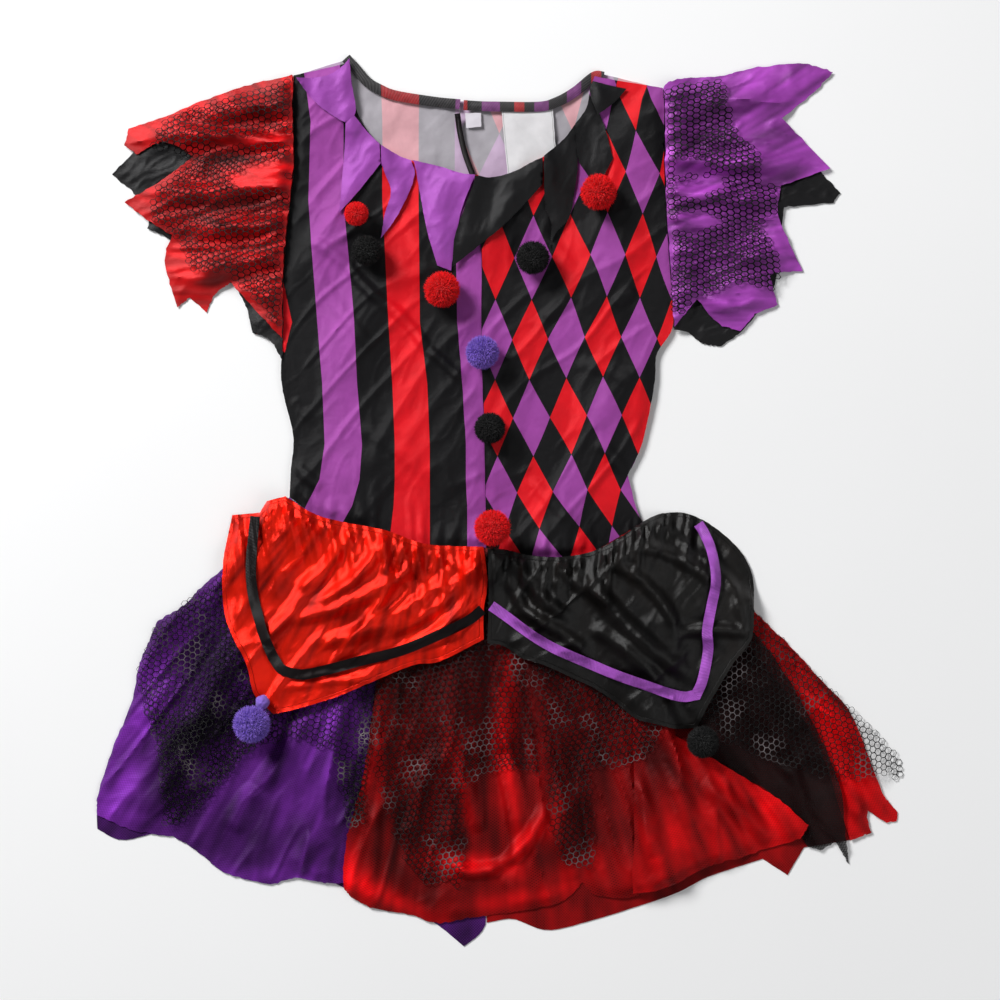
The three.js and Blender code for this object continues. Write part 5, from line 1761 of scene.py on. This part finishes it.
class COSTUME_OT_sleeves(CostumeOperator, bpy.types.Operator):
    """Lay the sleeves: black points, a coloured shell and a net over it"""

    bl_idname = "costume.sleeves"
    bl_label = "Sleeves"

    def execute(self, context):
        points = dict(wrinkles=WRINKLES["points"], loft=0.8, fray=0.4)
        shell = dict(wrinkles=WRINKLES["sleeve"], loft=1.5, fray=0.35,
                     gathers=dict(count=17, reach=46 * MM, height=4.5 * MM))
        cloth("sleeve_left_points", dict(
            seam=ARMHOLE_LEFT - line((0.4, 0)),
            hem=line((-256, 306), (-283, 288), (-310, 260), (-292, 245), (-280, 230), (-282, 217),
                (-264, 208), (-250, 184), (-211, 172), (-202, 151), (-198, 134), (-184, 128), (-174, 112)),
            seed=61, **points), "sleeve_black", slot="black_organza",
            rests_on=["sleeve_left_back"], fullness=1.15)
        cloth("sleeve_right_points", dict(
            seam=ARMHOLE_RIGHT + line((0.4, 0)),
            hem=line((208, 326), (232, 296), (252, 268), (272, 246), (267, 238), (227, 234), (223, 200),
                (218, 168), (193, 135), (177, 123), (163, 125), (149, 134), (139, 136)),
            seed=62, **points), "sleeve_black", slot="black_organza",
            rests_on=["sleeve_right_back"], fullness=1.15)
        cloth("sleeve_left_shell", dict(
            seam=ARMHOLE_LEFT - line((0.4, 0)),
            hem=line((-271, 305), (-297, 297), (-300, 283), (-290, 276), (-274, 285), (-259, 283),
                (-245, 274), (-270, 255), (-300, 238), (-282, 224), (-262, 211), (-268, 192), (-258, 154),
                (-248, 162), (-235, 150), (-227, 165), (-215, 174), (-190, 146), (-174, 129)),
            first=line((-200, 332), (-240, 318)), seed=63, tone=SLEEVE_RED_HIGHLIGHTS_AND_SHADE,
            folds=((-170, 320, -236, 306, 2, 12, 6), (-170, 284, -256, 292, -2, 9, 8),
                (-170, 252, -276, 244, 3, 14, 8), (-172, 222, -236, 214, 0, 10, 7),
                (-174, 192, -244, 178, -3, 12, 6), (-176, 160, -214, 168, 0, 8, 4)),
            **shell), "red_knit", rests_on=["sleeve_left_points"], fullness=1.3)
        cloth("sleeve_right_shell", dict(
            seam=ARMHOLE_RIGHT + line((0.4, 0)),
            hem=line((243, 349), (266, 342), (252, 327), (225, 305), (264, 265), (224, 251), (222, 228),
                (242, 183), (225, 182), (215, 179), (222, 156), (204, 148), (192, 135), (175, 141),
                (157, 160), (139, 138)),
            first=line((134, 333), (149, 337), (178, 339), (202, 345)), seed=64, tone=SLEEVE_PURPLE_HIGHLIGHTS_AND_SHADE,
            folds=((135, 306, 214, 320, 2, 12, 5), (135, 272, 240, 268, -2, 12, 7),
                (137, 238, 214, 238, 3, 11, 6), (138, 204, 220, 194, -2, 11, 6),
                (140, 170, 190, 152, 0, 9, 4)),
            **shell), "purple_knit", rests_on=["sleeve_right_points"], fullness=1.3)
        look = "black_net"
        net("sleeve_left_net", dict(
            seam=ARMHOLE_LEFT - line((0.4, 0)),
            hem=line((-268, 306), (-280, 280), (-245, 272), (-274, 248), (-280, 222), (-258, 208),
                (-248, 182), (-219, 179), (-200, 162), (-175, 134)),
            turns=(90,), squeeze=0.9, seed=9, strand=0.8 * MM,
            windows=(line((-214, 257), (-200, 267), (-168, 271), (-168, 246), (-196, 248), (-211, 250)),
                     line((-230, 287), (-168, 294), (-168, 283), (-224, 280)))),
            look, ["sleeve_left_shell"])
        net("sleeve_right_net", dict(
            seam=ARMHOLE_RIGHT + line((0.4, 0)),
            hem=line((177, 338), (190, 294), (206, 277), (210, 254), (224, 250), (222, 230), (208, 218),
                (223, 195), (225, 185), (218, 164), (190, 172), (155, 158), (140, 138)),
            turns=(90,), squeeze=0.85, seed=10, strand=1.05 * MM,
            windows=(line((137, 272), (165, 270), (165, 259), (137, 259)),
                     line((138, 252), (181, 261), (178, 250), (160, 239), (138, 241)),
                     line((138, 229), (165, 231), (178, 222), (160, 213), (138, 215)))),
            look, ["sleeve_right_shell"])
        return {"FINISHED"}


class COSTUME_OT_flaps(CostumeOperator, bpy.types.Operator):
    """Lay the two satin flaps with their ribbons"""

    bl_idname = "costume.flaps"
    bl_label = "Satin flaps"

    def execute(self, context):
        satin = dict(wrinkles=WRINKLES["satin"], loft=2.0, calm=0.3,
                     gathers=dict(count=22, reach=58 * MM, height=5.5 * MM))
        cloth("peplum_red", dict(
            seam=line((-214, -12), (-191, -10), (-186, -1), (-170, 3), (-147, -11), (-126, -17), (-91, -24),
                (-58, -35), (-13, -37)),
            hem=line((-180, -170), (-158, -165), (-126, -155), (-96, -142), (-67, -131), (-50, -129),
                (-13, -111)),
            first=line((-219, -38), (-221, -72), (-217, -98), (-201, -131), (-195, -155)),
            last=line((-10, -66), (-13, -89)), seed=71, tone=SATIN_RED_FOLD_SHADE,
            folds=((-12, -40, -96, -108, 10, 10, 6), (-34, -52, -148, -114, 12, 10, 6),
                (-60, -46, -170, -96, 8, 9, 5), (-92, -34, -150, -84, 6, 8, 5),
                (-124, -30, -160, -70, 5, 9, 5), (-20, -60, -60, -112, 6, 8, 4),
                (-90, -70, -130, -128, 4, 8, 4), (-150, -60, -186, -110, 3, 9, 4),
                (-206, -30, -208, -96, 2, 7, 2.5), (-170, -150, -100, -142, 2, 6, 2.5),
                (-100, -30, -96, -66, 6, 3.5, 1.6), (-78, -34, -72, -72, -4, 3.5, 1.6),
                (-72, -72, -112, -97, 4, 3.5, 1.6), (-48, -44, -22, -68, 3, 3.5, 1.6),
                (-150, -32, -178, -60, 4, 3.5, 1.6), (-136, -58, -158, -78, 2, 3, 1.4),
                (-104, -96, -130, -126, -2, 3, 1.4), (-130, -104, -148, -124, 2, 3, 1.2)),
            **satin), "red_satin",
            rests_on=["skirt_net_left", "skirt_net_middle"], fullness=1.35, trims=["ribbon_black"])
        cloth("peplum_black", dict(
            seam=line((-10, -38), (6, -40), (25, -44), (49, -45), (72, -41), (94, -30), (112, -18),
                (128, -11), (150, -11), (173, -23)),
            hem=line((-10, -114), (2, -116), (18, -126), (34, -131), (58, -142), (75, -150), (93, -162),
                (108, -174), (124, -178), (140, -182), (157, -182)),
            first=line((-9, -77)),
            last=line((193, -42), (202, -62), (202, -82), (200, -110), (185, -131), (165, -165)), seed=72,
            tone=SATIN_BLACK_SHEEN_AND_SHADE,
            folds=((14, -46, 54, -92, -6, 9, 6), (44, -48, 92, -82, -5, 8, 5),
                (60, -46, 152, -140, -8, 11, 7), (140, -106, 198, -106, 3, 8, 5),
                (110, -36, 170, -66, 5, 9, 5), (16, -88, 70, -122, 3, 8, 4), (90, -50, 140, -100, 6, 8, 5),
                (4, -60, 34, -100, -3, 7, 4), (70, -100, 130, -150, 5, 9, 4),
                (180, -60, 196, -110, 2, 7, 3)),
            **satin), "black_satin",
            rests_on=["skirt_net_right", "skirt_front_red"], fullness=1.35, trims=["ribbon_purple"])
        outer = line((-194, -13), (-197, -45), (-196, -74), (-190, -99), (-180, -125))
        foot = line((-180, -125), (-174, -134), (-165, -138))
        inner = line((-165, -138), (-152, -138), (-120, -130), (-80, -120), (-54, -110), (-26, -96),
            (-14, -87))
        strip("ribbon_black", [outer, foot, inner], sizes().ribbon, "black_ribbon", wave=0.4)
        inner = line((-7, -84), (24, -106), (50, -121), (90, -138), (118, -148), (144, -156), (156, -155))
        outer = line((156, -155), (161, -143), (165, -120), (164, -104), (168, -84), (171, -64), (168, -40),
            (163, -27), (158, -19))
        strip("ribbon_purple", [inner, outer], sizes().ribbon, "purple_ribbon", wave=0.4)
        return {"FINISHED"}


# The first petal's and the first pompom's seed; the next ones count on
COLLAR_SEED = 80
POMPOM_SEED = 90
# Each petal's seam and its edge
COLLAR = {
    "collar_purple_1": (
        line((-120, 352), (-118, 331), (-115, 311), (-119, 300)),
        line((-125, 346), (-139, 338), (-162, 336), (-155, 326), (-144, 314), (-131, 305), (-121, 300))),
    "collar_purple_2": (
        line((-116, 306), (-106, 294), (-96, 284)),
        line((-123, 300), (-125, 266), (-128, 229), (-117, 241), (-104, 257), (-95, 269))),
    "collar_purple_3": (
        line((-95, 283), (-79, 274), (-71, 271)),
        line((-94, 267), (-87, 246), (-92, 228), (-95, 209), (-85, 222), (-75, 240), (-68, 260))),
    "collar_purple_4": (
        line((-70, 271), (-48, 266), (-30, 260), (-20, 259)),
        line((-68, 268), (-63, 240), (-58, 214), (-50, 187), (-39, 183), (-36, 205), (-30, 233),
            (-21, 256))),
    "collar_black_1": (
        line((-20, 258), (-6, 257), (12, 262), (27, 270), (34, 273)),
        line((-21, 252), (-36, 210), (-38, 186), (-14, 205), (0, 216), (18, 234), (34, 252))),
    "collar_black_2": (
        line((35, 274), (51, 288), (60, 300)),
        line((35, 258), (36, 234), (41, 220), (39, 200), (44, 212), (55, 225), (60, 250), (62, 268))),
    "collar_black_3": (
        line((60, 300), (68, 311), (72, 322)),
        line((63, 270), (78, 250), (90, 272), (82, 302))),
    "collar_black_4": (
        line((72, 322), (72, 330), (74, 334)),
        line((78, 307), (92, 318), (101, 328), (86, 331))),
}


class COSTUME_OT_collar(CostumeOperator, bpy.types.Operator):
    """Lay the collar's pointed petals"""

    bl_idname = "costume.collar"
    bl_label = "Collar"

    def execute(self, context):
        for number, (name, (seam, hem)) in enumerate(COLLAR.items()):
            purple = "purple" in name
            cloth(name, dict(seam=seam, hem=hem, wrinkles=WRINKLES["petal"], calm=0.5,
                             seed=COLLAR_SEED + number),
                  "collar_knit" if purple else "collar_black",
                  slot="purple_knit" if purple else "black_satin",
                  rests_on=["bodice_front_left" if purple else "bodice_front_right"])
        return {"FINISHED"}


# Name, place, width and colour of each pompom, and a knot beside one: how far right, up, how wide
POMPOMS = (
    ("pompom_red_tuft", -114, 227, 20, "red"),
    ("pompom_black_left", -106, 198, 25, "black"),
    ("pompom_red_left", -46, 167, 30, "red"),
    ("pompom_black_right", 26, 192, 28, "black"),
    ("pompom_red_right", 78, 244, 30, "red"),
    ("pompom_violet_front", -14, 117, 28, "violet"),
    ("pompom_black_front", -8, 57, 26, "black"),
    ("pompom_red_front", -6, -22, 30, "red"),
    ("pompom_violet_hem", -196, -177, 31, "violet"),
    ("pompom_black_hem", 161, -192, 27, "black"),
)
KNOTS = {"pompom_violet_hem": (8, 17, 14)}


class COSTUME_OT_pompoms(CostumeOperator, bpy.types.Operator):
    """Set the ten pompoms on the cloth"""

    bl_idname = "costume.pompoms"
    bl_label = "Pompoms"

    def execute(self, context):
        for number, (name, x, y, size, colour) in enumerate(POMPOMS):
            pompom(name, x, y, size, colour + "_yarn", POMPOM_SEED + number, KNOTS.get(name))
        return {"FINISHED"}


class COSTUME_OT_cuts(CostumeOperator, bpy.types.Operator):
    """State what each piece of cloth was cut to, and the trims on it"""

    bl_idname = "costume.cuts"
    bl_label = "Cuts"

    def execute(self, context):
        for cut in cuts:
            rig.sheet(**cut)
        return {"FINISHED"}


STEPS = (COSTUME_OT_stage, COSTUME_OT_backs, COSTUME_OT_bodice, COSTUME_OT_skirt, COSTUME_OT_skirt_nets,
         COSTUME_OT_sleeves, COSTUME_OT_flaps, COSTUME_OT_collar, COSTUME_OT_pompoms, COSTUME_OT_cuts)


class COSTUME_PT_panel(bpy.types.Panel):
    """Lists the steps that build the dress"""

    bl_idname = "COSTUME_PT_panel"
    bl_label = "Jester dress"
    bl_space_type = "VIEW_3D"
    bl_region_type = "UI"
    bl_category = "Jester dress"

    def draw(self, context):
        for step in STEPS:
            self.layout.operator(step.bl_idname)
        for holder in (context.scene.costume_sizes, context.scene.costume_colours):
            box = self.layout.box()
            for name in holder.__annotations__:
                box.prop(holder, name)


CLASSES = (CostumeSizes, CostumeColours, *STEPS, COSTUME_PT_panel)


def register():
    """Registers the classes and hangs the sizes and colours on the scene."""
    for item in CLASSES:
        bpy.utils.register_class(item)
    bpy.types.Scene.costume_sizes = bpy.props.PointerProperty(type=CostumeSizes)
    bpy.types.Scene.costume_colours = bpy.props.PointerProperty(type=CostumeColours)


def unregister():
    """Undoes what register did."""
    del bpy.types.Scene.costume_colours
    del bpy.types.Scene.costume_sizes
    for item in reversed(CLASSES):
        bpy.utils.unregister_class(item)


def main():
    """Builds the dress step by step, then writes the CAD's box and the dress's own."""
    register()
    bpy.ops.costume.stage()
    bpy.ops.costume.backs()
    bpy.ops.costume.bodice()
    bpy.ops.costume.skirt()
    bpy.ops.costume.skirt_nets()
    bpy.ops.costume.sleeves()
    bpy.ops.costume.flaps()
    bpy.ops.costume.collar()
    bpy.ops.costume.pompoms()
    bpy.ops.costume.cuts()
    boxes = {"cad": [list(map(float, corner)) for corner in cad_box],
             "visual": [list(map(float, corner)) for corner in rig.bounds()]}
    with open("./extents.json", "w") as file:
        json.dump(boxes, file, indent=1)


if __name__ == "__main__":
    main()
